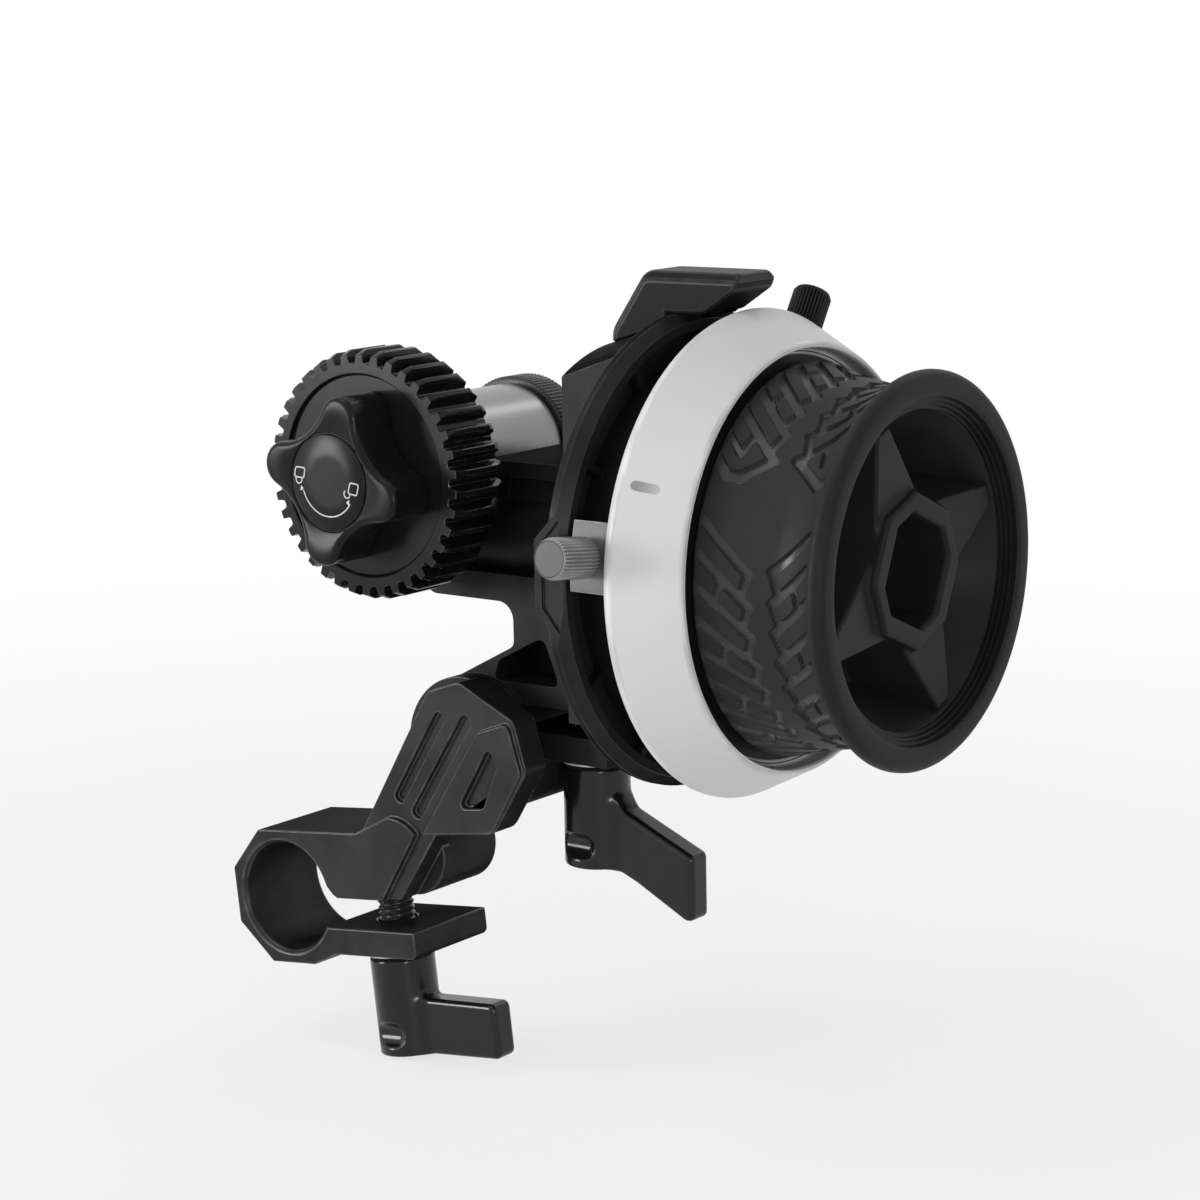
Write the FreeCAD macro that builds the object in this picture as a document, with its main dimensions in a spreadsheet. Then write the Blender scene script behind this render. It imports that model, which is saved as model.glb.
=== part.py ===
import FreeCAD, Part
import math
import os
import re
import Sketcher
from FreeCAD import Placement, Rotation, Vector

# Follow focus unit for 15 mm rods, in millimetres and degrees.
# The origin is the middle of the rod bore, whose axis is Y. +Z is up, and the handwheel
# turns about X on the +X side. The rod clamp is tilted about Y, and the head hangs on its arm
# at the pivot, so the head's pieces are placed from the pivot.

doc = FreeCAD.newDocument("FollowFocus")
sheet = doc.addObject("Spreadsheet::Sheet", "Sizes")

SIZES = {
    # Fits
    "running_gap": 0.04,
    "thread_gap": 0.05,
    "side_gap": 0.1,
    "free_gap": 0.35,
    # Rod clamp, across and up from the rod bore
    "clamp_tilt": 6.5,
    "rod_radius": 7.5,
    "clamp_flat": 9.2,
    "clamp_half_width": 7.5,
    "clamp_chamfer": 0.5,
    "jaw_top": 3.95,
    "jaw_bottom": 7.6,
    "jaw_end": 22.3,
    "jaw_corner": 1.0,
    "block_bottom": 0.2,
    "block_end": 20.0,
    "block_end_radius": 5.65,
    "block_end_front": 3.4,
    "clamp_stud_across": 13.1,
    # Arm between the rod clamp and the pivot
    "arm_reach": 30.46,
    "arm_rise": 19.98,
    "arm_front": 6.6,
    "arm_rear": 2.3,
    "arm_pad_depth": 0.7,
    "arm_slot_depth": 0.8,
    "arm_slot_round": 0.7,
    # Studs and their lifting levers
    "stud_radius": 2.5,
    "spline_radius": 3.2,
    "spline_length": 2.0,
    "tail_radius": 1.6,
    "tail_length": 7.9,
    "washer_thick": 1.0,
    "washer_radius": 4.25,
    "lever_radius": 4.4,
    "lever_height": 13.5,
    "lever_web": 1.4,
    "lever_reach": 18.2,
    "lever_blade": 3.6,
    "lever_drop": 5.7,
    "lever_round": 1.6,
    "blade_bend": 10.5,
    "dimple_radius": 1.5,
    "chamber_radius": 3.4,
    "lever_screw_radius": 3.0,
    "lever_screw_head": 1.6,
    "spring_wire": 0.25,
    "spring_radius": 2.5,
    "spring_turns": 5.0,
    # Pivot
    "axle_radius": 6.5,
    "collar_radius": 9.43,
    "collar_thick": 2.5,
    "spigot_radius": 4.0,
    "spigot_length": 2.6,
    "pivot_cap_radius": 8.6,
    "pivot_cap_thick": 1.6,
    "cap_socket_radius": 2.0,
    # Housing, along X, Y and Z from the pivot
    "ring_radius": 9.4,
    "head_front": 1.0,
    "head_rear": 17.0,
    "head_top": 37.7,
    "head_low": 19.3,
    "lip_thick": 2.0,
    "low_lip_thick": 3.6,
    "lip_depth": 2.4,
    "leg_across": 5.9,
    "leg_low": 12.9,
    "leg_round": 2.4,
    "ear_low": -0.8,
    "ear_top": 2.7,
    "rib_low": 6.1,
    "rib_top": 8.7,
    "ear_end": 20.6,
    "lever_across": 13.7,
    "drum_rear": 19.0,
    "drum_radius": 25.54,
    "drum_front_radius": 28.6,
    "drum_flat": 12.6,
    "flange_rear": 29.0,
    "flange_thick": 2.6,
    "flange_radius": 30.0,
    "flange_lip": 0.5,
    "flange_chamfer": 1.2,
    "flange_flat": 29.0,
    "tab_rear": 1.9,
    "tab_half_height": 5.0,
    "tab_panel": 0.35,
    "leg_pocket": 6.5,
    "shaft_tube_wall": 1.1,
    "cup_radius": 27.6,
    "cup_depth": 1.8,
    "cup_ribs": 12.0,
    "cup_rib_thick": 0.9,
    "cup_rib_height": 1.6,
    # Wheel axis and right-angle drive
    "wheel_back": 8.0,
    "wheel_rise": 27.6,
    "output_across": -6.8,
    "mesh_radius": 4.525,
    "mesh_tip": 0.7,
    "mesh_root": 0.95,
    "mesh_width": 8.0,
    "shaft_radius": 3.0,
    "bearing_radius": 5.5,
    "bearing_width": 4.0,
    "boss_radius": 10.8,
    # Barrel, gear and knob, along Y from the rod bore's middle
    "barrel_radius": 8.6,
    "barrel_front": -3.0,
    "barrel_rear": 17.4,
    "barrel_neck_radius": 7.2,
    "lock_ring_radius": 9.5,
    "lock_ring_width": 4.9,
    "barrel_cap_width": 1.0,
    "gear_teeth": 38.0,
    "gear_module": 0.8,
    "gear_front": -12.9,
    "gear_rear": -3.4,
    "gear_land_front": -10.9,
    "gear_land_rear": -5.3,
    "gear_face_radius": 14.9,
    "gear_recess_radius": 13.0,
    "gear_recess": 0.6,
    "knob_thick": 7.0,
    "knob_lobe_centre": 8.2,
    "knob_lobe_radius": 2.8,
    "knob_valley_radius": 14.5,
    "knob_round": 0.9,
    "knob_groove_radius": 6.2,
    "knob_groove": 0.3,
    "knob_turn": 80.0,
    "knob_stud_radius": 1.5,
    "knob_stud_length": 7.0,
    # Stops, radii about the wheel axis
    "rail_radius": 24.2,
    "rail_wall": 2.0,
    "rail_front": 37.2,
    "stop_rear": 32.3,
    "stop_front": 37.5,
    "stop_radius": 28.9,
    "stop_half_angle": 8.5,
    "stop_a_angle": 173.0,
    "stop_b_angle": 57.3,
    "stop_screw_across": 34.9,
    "stop_screw_radius": 2.5,
    "stop_head_low": 29.5,
    "stop_head_high": 36.4,
    "stop_neck_radius": 1.5,
    "stop_thread_radius": 1.2,
    "lug_angle": 295.0,
    "lug_half_angle": 8.0,
    "lug_radius": 28.6,
    # Handwheel, along X from the pivot and radii about the wheel axis
    "disc_rear": 37.8,
    "disc_front": 46.9,
    "disc_radius": 31.1,
    "disc_lip_radius": 26.5,
    "disc_round": 1.3,
    "disc_seat_radius": 24.9,
    "disc_bore_radius": 25.8,
    "disc_seat_length": 6.6,
    "core_hub_radius": 6.5,
    "core_hub_rear": 34.0,
    "core_wall_radius": 20.9,
    "core_floor": 50.0,
    "core_floor_thick": 2.4,
    "dish_floor_radius": 14.5,
    "dish_floor": 53.5,
    "dish_rim_radius": 19.4,
    "dish_step": 0.45,
    "core_front": 63.4,
    "socket_flat": 6.2,
    "socket_corner": 2.6,
    "star_turn": 21.7,
    "socket_wall": 2.4,
    "socket_bevel": 0.6,
    "socket_front": 62.6,
    "ray_inner": 12.0,
    "ray_outer": 19.3,
    "ray_top": 62.3,
    "ray_fall": 2.0,
    "ray_half_width": 5.4,
    "grip_rear": 46.6,
    "grip_rear_radius": 24.3,
    "grip_mid": 49.0,
    "grip_mid_radius": 23.7,
    "grip_waist": 56.4,
    "grip_waist_radius": 22.0,
    "grip_waist_end": 58.2,
    "grip_flange": 62.9,
    "grip_flange_radius": 24.15,
    "grip_front": 64.3,
    "grip_round": 0.8,
    "hub_screw_radius": 4.0,
    "hub_screw_head": 2.0,
    "hub_thread_radius": 1.5,
    "hub_thread_length": 6.0,
    # Index pointer
    "pointer_low_side": -4.3,
    "pointer_high_side": 4.3,
    "pointer_top": 62.5,
    "pointer_under": 57.4,
    "pointer_tip": 39.6,
    "pointer_chamfer": 1.1,
}
for row, (alias, size) in enumerate(SIZES.items(), 1):
    sheet.set("A%d" % row, alias)
    sheet.set("B%d" % row, str(size))
    sheet.setAlias("B%d" % row, alias)
doc.recompute()

# Places that several pieces share, worked out from the sizes
PIVOT_X = "(arm_reach * cos(clamp_tilt) - arm_rise * sin(clamp_tilt))"
PIVOT_Z = "(arm_reach * sin(clamp_tilt) + arm_rise * cos(clamp_tilt))"
OUTPUT_RISE = "(wheel_rise + 2 * mesh_radius)"
FLANGE_FRONT = "(flange_rear + flange_thick)"
CLAMP = ("0", "0", "0")
PIVOT = (PIVOT_X, "0", PIVOT_Z)
WHEEL = (PIVOT_X, "wheel_back", PIVOT_Z + " + wheel_rise")
OUTPUT = (PIVOT_X + " + output_across", "0", PIVOT_Z + " + " + OUTPUT_RISE)
PIVOT_STUD = (PIVOT_X + " + lever_across", "wheel_back", PIVOT_Z)
WHEEL_IN_HEAD = ("0", "wheel_back", "wheel_rise")
OUTPUT_IN_HEAD = ("output_across", "0", OUTPUT_RISE)

PLANES = {"X": "YZ_Plane", "Y": "XZ_Plane", "Z": "XY_Plane"}


def bound(text):
    """An expression with each size's alias looked up in the sheet."""
    return re.sub(r"\b([a-z]+(?:_[a-z]+)+)\b", r"Sizes.\1", text)


def value(text):
    """The number that an expression gives now."""
    return float(sheet.evalExpression(bound(text)))


def piece(name, frame, tilt=None):
    """A body named for its sub-part, placed at a frame and turned about Y or X."""
    body = doc.addObject("PartDesign::Body", name)
    body.Label = name
    if tilt:
        axis, angle = tilt
        body.Placement = Placement(Vector(), Rotation(axis, 1))
        body.setExpression("Placement.Rotation.Angle", bound(angle))
    for letter, text in zip("xyz", frame):
        if text != "0":
            body.setExpression("Placement.Base." + letter, bound(text))
    return body


def clamp_piece(name):
    """A body in the rod clamp's tilted frame."""
    return piece(name, CLAMP, (Vector(0, 1, 0), "-clamp_tilt"))


def new_sketch(body, normal, centre, level):
    """A sketch square to an axis of its body, with its origin at a centre and a level."""
    sketch = body.newObject("Sketcher::SketchObject", body.Label + "_outline")
    role = PLANES[normal]
    sketch.AttachmentSupport = [(next(f for f in body.Origin.OriginFeatures if f.Role == role), "")]
    sketch.MapMode = "FlatFace"
    x, y, z = centre
    base = {"X": (y, z, level), "Y": (x, z, "-(%s)" % level), "Z": (x, y, level)}[normal]
    for letter, text in zip("xyz", base):
        if text not in ("0", "-(0)"):
            sketch.setExpression("AttachmentOffset.Base." + letter, bound(text))
    return sketch


def hold(sketch, kind, where, text):
    """Add a dimension to a sketch and bind it to an expression."""
    index = sketch.addConstraint(Sketcher.Constraint(kind, *where, value(text)))
    sketch.setExpression("Constraints[%d]" % index, bound(text))


def pin(sketch, index, point, across, up):
    """Hold a point of a sketch at a place; a plain 0 puts it on the axis."""
    for kind, axis, text in (("DistanceX", -2, across), ("DistanceY", -1, up)):
        if text == "0":
            sketch.addConstraint(Sketcher.Constraint("PointOnObject", index, point, axis))
        else:
            hold(sketch, kind, (index, point), text)


def circle(sketch, across, up, radius):
    """A circle held by its centre and radius."""
    middle = Vector(value(across), value(up), 0)
    index = sketch.addGeometry(Part.Circle(middle, Vector(0, 0, 1), value(radius)))
    pin(sketch, index, 3, across, up)
    hold(sketch, "Radius", (index,), radius)


def arc_between(start, end, radius):
    """The short arc from start to end. A positive radius has its centre on the left."""
    chord = end - start
    left = Vector(-chord.y, chord.x, 0).normalize()
    rise = max(radius ** 2 - (chord.Length / 2) ** 2, 0) ** 0.5
    side = 1 if radius > 0 else -1
    centre = (start + end) / 2 + left * rise * side
    middle = centre - left * abs(radius) * side
    return Part.Arc(start, middle, end)


def outline(sketch, corners, flats=False):
    """A closed outline through corners given as (across, up), (across, up, round) or
    (across, up, "0", bend), where bend is the radius of the edge to the next corner.
    With flats, a corner's round is the two legs of a chamfer instead."""
    corners = [tuple(corner) + ("0",) * (4 - len(corner)) for corner in corners]
    places = [Vector(value(across), value(up), 0) for across, up, _, _ in corners]
    count = len(corners)
    starts, ends, rounds = [], [], []
    for i, (_, _, radius, _) in enumerate(corners):
        back = (places[i - 1] - places[i]).normalize()
        ahead = (places[(i + 1) % count] - places[i]).normalize()
        half = back.getAngle(ahead) / 2
        reach = value(radius) if flats else value(radius) / math.tan(half)
        ends.append(places[i] + back * reach)
        starts.append(places[i] + ahead * reach)
        rounds.append(back.cross(ahead).z)
    edges = []
    for i, (_, _, _, bend) in enumerate(corners):
        start, end = starts[i], ends[(i + 1) % count]
        if bend == "0":
            edges.append((sketch.addGeometry(Part.LineSegment(start, end)), 1, 2))
            continue
        index = sketch.addGeometry(arc_between(start, end, value(bend)))
        first = 1 if sketch.getPoint(index, 1).distanceToPoint(start) < 1e-4 else 2
        edges.append((index, first, 3 - first))
        hold(sketch, "Radius", (index,), bend.lstrip("-"))
    for i, (across, up, radius, _) in enumerate(corners):
        before, _, leaving = edges[i - 1]
        after, entering, _ = edges[i]
        if radius == "0":
            sketch.addConstraint(Sketcher.Constraint("Coincident", before, leaving, after, entering))
            pin(sketch, after, entering, across, up)
            continue
        corner = sketch.addGeometry(Part.Point(places[i]), True)
        pin(sketch, corner, 1, across, up)
        sketch.addConstraint([
            Sketcher.Constraint("PointOnObject", corner, 1, before),
            Sketcher.Constraint("PointOnObject", corner, 1, after),
        ])
        if flats:
            index = sketch.addGeometry(Part.LineSegment(ends[i], starts[i]))
            first, meeting = 1, "Coincident"
            hold(sketch, "Distance", (corner, 1, before, leaving), radius)
            hold(sketch, "Distance", (corner, 1, after, entering), radius)
        else:
            turn = -1 if rounds[i] > 0 else 1
            index = sketch.addGeometry(arc_between(ends[i], starts[i], turn * value(radius)))
            first = 1 if sketch.getPoint(index, 1).distanceToPoint(ends[i]) < 1e-4 else 2
            meeting = "Tangent"
            hold(sketch, "Radius", (index,), radius)
        sketch.addConstraint(Sketcher.Constraint(meeting, before, leaving, index, first))
        sketch.addConstraint(Sketcher.Constraint(meeting, index, 3 - first, after, entering))


def draw(sketch, shapes, flats=False):
    """Draw circles, given as three expressions, and outlines, given as lists of corners."""
    for shape in shapes:
        if isinstance(shape, tuple):
            circle(sketch, *shape)
        else:
            outline(sketch, shape, flats)


def pad(body, normal, low, high, *shapes, centre=CLAMP):
    """Material between two levels along an axis, inside the shapes."""
    sketch = new_sketch(body, normal, centre, high if normal == "Y" else low)
    draw(sketch, shapes)
    feature = body.newObject("PartDesign::Pad", body.Label + "_pad")
    feature.Profile = sketch
    feature.setExpression("Length", bound("(%s) - (%s)" % (high, low)))
    return feature


def pocket(body, normal, low, high, *shapes, centre=CLAMP):
    """Material taken away between two levels along an axis, inside the shapes."""
    sketch = new_sketch(body, normal, centre, high if normal == "Y" else low)
    draw(sketch, shapes)
    feature = body.newObject("PartDesign::Pocket", body.Label + "_pocket")
    feature.Profile = sketch
    feature.Reversed = True
    feature.setExpression("Length", bound("(%s) - (%s)" % (high, low)))
    return feature


def turned(body, axis, *shapes, centre=CLAMP, kind="Revolution"):
    """A shape turned about an axis through the centre. Corners are (along, out) or
    (along, out, chamfer)."""
    normal = "X" if axis == "Y" else "Y"
    level = centre[1] if normal == "Y" else centre[0]
    sketch = new_sketch(body, normal, centre, level)
    if axis == "Z":
        shapes = [[(corner[1], corner[0]) + tuple(corner[2:]) for corner in shape] for shape in shapes]
    draw(sketch, shapes, flats=True)
    feature = body.newObject("PartDesign::" + kind, body.Label + "_turned")
    feature.Profile = sketch
    feature.ReferenceAxis = (sketch, ["V_Axis" if axis == "Z" else "H_Axis"])
    feature.Angle = 360
    return feature


def around(body, feature, count, axis):
    """The feature repeated all the way round an axis of its body."""
    pattern = body.newObject("PartDesign::PolarPattern", body.Label + "_pattern")
    pattern.Originals = [feature]
    pattern.Axis = (next(f for f in body.Origin.OriginFeatures if f.Role == axis + "_Axis"), [""])
    pattern.Angle = 360
    pattern.setExpression("Occurrences", bound(count))
    body.Tip = pattern
    return pattern


def edges_where(feature, test):
    """The names of a feature's edges whose middles pass a test."""
    doc.recompute()
    chosen = []
    for number, edge in enumerate(feature.Shape.Edges, 1):
        middle = edge.valueAt((edge.FirstParameter + edge.LastParameter) / 2)
        if test(edge, middle):
            chosen.append("Edge%d" % number)
    return chosen


def eased(body, kind, feature, size, test):
    """A Chamfer or Fillet on the chosen edges of the body's last feature."""
    dress = body.newObject("PartDesign::" + kind, body.Label + "_eased")
    dress.Base = (feature, edges_where(feature, test))
    dress.setExpression("Radius" if kind == "Fillet" else "Size", bound(size))
    return dress


def sector(inner, outer, half):
    """A ring's slice, half an angle each side of the across direction."""
    return [
        ("%s * cos(%s)" % (inner, half), "-%s * sin(%s)" % (inner, half)),
        ("%s * cos(%s)" % (outer, half), "-%s * sin(%s)" % (outer, half), "0", outer),
        ("%s * cos(%s)" % (outer, half), "%s * sin(%s)" % (outer, half)),
        ("%s * cos(%s)" % (inner, half), "%s * sin(%s)" % (inner, half), "0", "-" + inner),
    ]


def box(left, right, low, high):
    """A plain rectangle."""
    return [(left, low), (right, low), (right, high), (left, high)]


def from_pivot(*corners):
    """Corners given across and up from the pivot, in the rod clamp's frame."""
    return [("arm_reach + (%s)" % corner[0], "arm_rise + (%s)" % corner[1]) + tuple(corner[2:])
            for corner in corners]


# Rod clamp: an octagonal ring round the rod with a slotted block. Its arm grows from the front
# face, leans towards the pivot, and carries a raised pad, two long slots and a D-shaped recess
HALF_SIDE = "clamp_flat * tan(22.5)"
rod_clamp = clamp_piece("rod_clamp")
pad(rod_clamp, "Y", "-clamp_half_width", "clamp_half_width", [
    ("-" + HALF_SIDE, "-clamp_flat"),
    (HALF_SIDE, "-clamp_flat"),
    ("clamp_flat - 1.2", "-jaw_bottom"),
    ("jaw_end", "-jaw_bottom", "jaw_corner"),
    ("jaw_end", "-jaw_top / 2"),
    ("block_end", "-jaw_top / 2"),
    ("block_end", "block_bottom", "0", "block_end_radius"),
    ("block_end + block_end_radius", "block_bottom + block_end_radius", "0", "block_end_radius"),
    ("block_end", "block_bottom + 2 * block_end_radius"),
    ("block_end - 6", "clamp_flat"),
    ("-" + HALF_SIDE, "clamp_flat"),
    ("-clamp_flat", HALF_SIDE),
    ("-clamp_flat", "-" + HALF_SIDE),
])
pocket(rod_clamp, "Y", "-clamp_half_width - 0.1", "-block_end_front", [
    ("block_end - 2.6", "block_bottom - 0.1"),
    ("block_end + 8", "block_bottom - 0.1"),
    ("block_end + 8", "block_bottom + 2 * block_end_radius + 1"),
    ("block_end + 6.9", "block_bottom + 2 * block_end_radius + 1"),
])
pad(rod_clamp, "Y", "-arm_front", "-arm_rear", from_pivot(
    ("-16.1", "clamp_flat - arm_rise"),
    ("-19", "clamp_flat - arm_rise"),
    ("-19", "block_bottom - arm_rise"),
    ("block_end - arm_reach", "block_bottom - arm_rise"),
    ("-3", "-10.7"),
    ("6.9", "-10.4", "3"),
    ("13.4", "-2.2", "1.5"),
    ("12.2", "4.4", "1"),
    ("3.9", "9.5", "1.6"),
    ("-1.6", "8.3", "2"),
))
pad(rod_clamp, "Y", "-arm_front - arm_pad_depth", "-arm_front", from_pivot(
    ("-4.8", "-10.6"),
    ("7.1", "-10.1", "2.5"),
    ("12.9", "-2.4", "1.2"),
    ("11.6", "4.3", "1"),
    ("6.4", "3", "1.2"),
))
for slot in (
    (("-9.6", "-5.8"), ("-8.3", "-6.8"), ("0.9", "4.8"), ("-0.4", "5.8")),
    (("-6.9", "-7.8"), ("-5.6", "-8.9"), ("5.3", "4.3"), ("4", "5.4")),
):
    pocket(rod_clamp, "Y", "-arm_front - 0.1", "-arm_front + arm_slot_depth",
           from_pivot(*[corner + ("arm_slot_round",) for corner in slot]))
pocket(rod_clamp, "Y", "-arm_front - arm_pad_depth - 0.1", "-arm_front + 0.3", from_pivot(
    ("1.9", "-7", "0.6"),
    ("6.1", "-6.9", "1"),
    ("9.1", "-1.4", "1"),
    ("8.1", "1.2", "0.6"),
))
pocket(rod_clamp, "Y", "-clamp_half_width - 1", "clamp_half_width + 1", [
    ("rod_radius / 2", "-jaw_top"),
    ("block_end + 8", "-jaw_top"),
    ("block_end + 8", "block_bottom"),
    ("rod_radius + 1.9", "block_bottom"),
    ("rod_radius + 1.2", "block_bottom + 0.4"),
    ("rod_radius - 0.5", "block_bottom + 2.4"),
    ("rod_radius / 2", "block_bottom + 2.4"),
])
turned(rod_clamp, "Y", [
    ("-clamp_half_width - 1", "0"),
    ("-clamp_half_width - 1", "rod_radius + clamp_chamfer + 1"),
    ("-clamp_half_width + clamp_chamfer", "rod_radius"),
    ("clamp_half_width - clamp_chamfer", "rod_radius"),
    ("clamp_half_width + 1", "rod_radius + clamp_chamfer + 1"),
    ("clamp_half_width + 1", "0"),
], kind="Groove")
pocket(rod_clamp, "Y", "-arm_rear - spigot_length", "-arm_rear + 0.1",
       ("arm_reach", "arm_rise", "spigot_radius"))
pocket(rod_clamp, "Z", "-jaw_bottom - 0.1", "-jaw_top + 0.1",
       ("clamp_stud_across", "0", "stud_radius + 5 * running_gap"))
pocket(rod_clamp, "Z", "block_bottom - 0.1", "clamp_flat - 1.2",
       ("clamp_stud_across", "0", "stud_radius + thread_gap"))


def hexagon(radius):
    """A hexagon by its corner radius."""
    return [("%s * cos(%d)" % (radius, angle), "%s * sin(%d)" % (radius, angle)) for angle in range(0, 360, 60)]


# Pivot axle: a collar the head turns against, and a spigot held in the arm
PIVOT_IN_CLAMP = ("arm_reach", "0", "arm_rise")
COLLAR_REAR = "-arm_rear + collar_thick"
AXLE_END = "head_rear + side_gap"
CAP_SCREW = "7.5"
pivot_axle = clamp_piece("pivot_axle")
turned(pivot_axle, "Y", [
    ("-arm_rear - spigot_length", "0"),
    ("-arm_rear - spigot_length", "spigot_radius"),
    ("-arm_rear", "spigot_radius"),
    ("-arm_rear", "collar_radius"),
    (COLLAR_REAR, "collar_radius"),
    (COLLAR_REAR, "axle_radius"),
    (AXLE_END, "axle_radius"),
    (AXLE_END, "stud_radius"),
    (AXLE_END + " - " + CAP_SCREW, "stud_radius"),
    (AXLE_END + " - " + CAP_SCREW, "0"),
], centre=PIVOT_IN_CLAMP)

pivot_cap = clamp_piece("pivot_cap")
turned(pivot_cap, "Y", [
    (AXLE_END + " - " + CAP_SCREW, "0"),
    (AXLE_END + " - " + CAP_SCREW, "stud_radius"),
    (AXLE_END, "stud_radius"),
    (AXLE_END, "pivot_cap_radius"),
    (AXLE_END + " + pivot_cap_thick", "pivot_cap_radius", "0.4"),
    (AXLE_END + " + pivot_cap_thick", "0"),
], centre=PIVOT_IN_CLAMP)
pocket(pivot_cap, "Y", AXLE_END, AXLE_END + " + pivot_cap_thick + 0.1", hexagon("cap_socket_radius"),
       centre=PIVOT_IN_CLAMP)


# Studs and levers. Each stud stands on Z in a frame of its own. Its splined head sits in the
# top of the lever, and a spring between the lever's web and a screw holds the lever up
def stud_piece(name, frame):
    """A body on a stud's axis."""
    if frame == CLAMP:
        at = ("clamp_stud_across * cos(clamp_tilt)", "0", "clamp_stud_across * sin(clamp_tilt)")
        return piece(name, at, (Vector(0, 1, 0), "-clamp_tilt"))
    return piece(name, PIVOT_STUD)


SPRINGS = []


def lever_group(name, frame, seat, stud_top, blade):
    """A stud, washer, lever, spring and screw hung under a seat."""
    top = "%s - washer_thick - side_gap" % seat
    spline_top = top + " - 0.5"
    spline_low = spline_top + " - spline_length"
    web_top = spline_low + " - 0.4"
    web_low = web_top + " - lever_web"
    tail_end = spline_low + " - tail_length"
    foot = top + " - lever_height"
    stud = stud_piece(name + "_stud", frame)
    turned(stud, "Z", [
        (stud_top, "0"),
        (stud_top, "stud_radius"),
        (spline_top, "stud_radius"),
        (spline_top, "spline_radius"),
        (spline_low, "spline_radius"),
        (spline_low, "tail_radius"),
        (tail_end, "tail_radius"),
        (tail_end, "0"),
    ])
    washer = stud_piece(name + "_washer", frame)
    turned(washer, "Z", [
        (seat, "stud_radius + 5 * running_gap"),
        (seat, "washer_radius"),
        (seat + " - washer_thick", "washer_radius"),
        (seat + " - washer_thick", "stud_radius + 5 * running_gap"),
    ])
    lever = stud_piece(name + "_lever", frame)
    turned(lever, "Z", [
        (top, "0"),
        (top, "lever_radius"),
        (foot, "lever_radius", "0.6"),
        (foot, "0"),
    ])
    pad(lever, "Y", "-lever_blade / 2", "lever_blade / 2",
        [(across, "%s - (%s)" % (top, down)) + tuple(rest) for across, down, *rest in blade])
    turned(lever, "Z", [
        (top + " + 1", "0"),
        (top + " + 1", "spline_radius + running_gap"),
        (web_top, "spline_radius + running_gap"),
        (web_top, "tail_radius + running_gap"),
        (web_low, "tail_radius + running_gap"),
        (web_low, "chamber_radius"),
        (foot + " - 1", "chamber_radius"),
        (foot + " - 1", "0"),
    ], kind="Groove")
    pocket(lever, "Y", "-lever_radius - 1", "-lever_radius / 2",
           ("-lever_radius * 0.7", foot + " + 3", "dimple_radius"))
    SPRINGS.append((name + "_lever_spring", tail_end + " + 0.05", web_low + " - 0.05"))
    screw = stud_piece(name + "_lever_screw", frame)
    turned(screw, "Z", [
        (tail_end, "0"),
        (tail_end, "lever_screw_radius"),
        (tail_end + " - lever_screw_head", "lever_screw_radius"),
        (tail_end + " - lever_screw_head", "0"),
    ])
    slot = box("-lever_screw_radius / 2", "lever_screw_radius / 2", "-0.4", "0.4")
    pocket(screw, "Z", tail_end + " - lever_screw_head - 0.1", tail_end + " - lever_screw_head / 2", slot)


lever_group("clamp", CLAMP, "-jaw_bottom", "clamp_flat - 1.6", [
    ("0", "lever_drop"),
    ("0", "lever_height"),
    ("lever_reach", "lever_height", "lever_round + 0.6"),
    ("lever_reach", "lever_drop", "lever_round"),
])
lever_group("pivot", PIVOT, "ear_low", "rib_top - 0.3", [
    ("0", "2.4"),
    ("0", "lever_height"),
    ("lever_reach - blade_bend", "lever_height + 1.1", "5"),
    ("lever_reach - 3.2", "lever_height + 5.7", "lever_round"),
    ("lever_reach", "lever_height + 4.1", "lever_round"),
    ("lever_reach", "lever_height - 2.2", "lever_round"),
    ("lever_radius + 0.6", "2.6", "1.5"),
])


# Main housing: the arm with its lips and leg, the split ring round the pivot axle, the drum
# behind the handwheel and the flange with a flat side and a six-sided tab
main_housing = piece("main_housing", PIVOT)
pad(main_housing, "Y", "head_front", "head_rear", [
    ("drum_rear + 2", "head_top"),
    ("output_across - boss_radius", "head_top"),
    ("output_across - boss_radius", OUTPUT_RISE, "0", "boss_radius"),
    ("output_across + boss_radius * cos(215)", OUTPUT_RISE + " + boss_radius * sin(215)"),
    ("output_across - 1", "head_low", "2"),
    ("leg_across", "head_low", "leg_round"),
    ("leg_across", "leg_low + 0.7", "leg_round / 2"),
    ("ring_radius * cos(125)", "ring_radius * sin(125)", "0", "ring_radius"),
    ("ring_radius * cos(235)", "ring_radius * sin(235)", "0", "ring_radius"),
    ("sqrt(ring_radius ^ 2 - ear_low ^ 2)", "ear_low"),
    ("ear_end", "ear_low"),
    ("ear_end", "rib_low"),
    ("drum_rear + 2", "rib_low"),
])
pad(main_housing, "Y", COLLAR_REAR + " + side_gap", "head_front", ("0", "0", "ring_radius"))
turned(main_housing, "X", [
    ("drum_rear", "0"),
    ("drum_rear", "drum_radius"),
    ("flange_rear", "drum_front_radius"),
    ("flange_rear", "0"),
], centre=WHEEL_IN_HEAD)
pocket(main_housing, "Y", "wheel_back - 2 * drum_radius", "wheel_back - drum_flat",
       box("drum_rear - 1", "flange_rear + 0.1", "-drum_radius", "wheel_rise + 2 * drum_radius"))
turned(main_housing, "X", [
    ("flange_rear", "0"),
    ("flange_rear", "flange_radius", "flange_lip"),
    (FLANGE_FRONT + " - flange_chamfer", "flange_radius"),
    (FLANGE_FRONT, "flange_radius - flange_chamfer"),
    (FLANGE_FRONT, "0"),
], centre=WHEEL_IN_HEAD)
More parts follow.
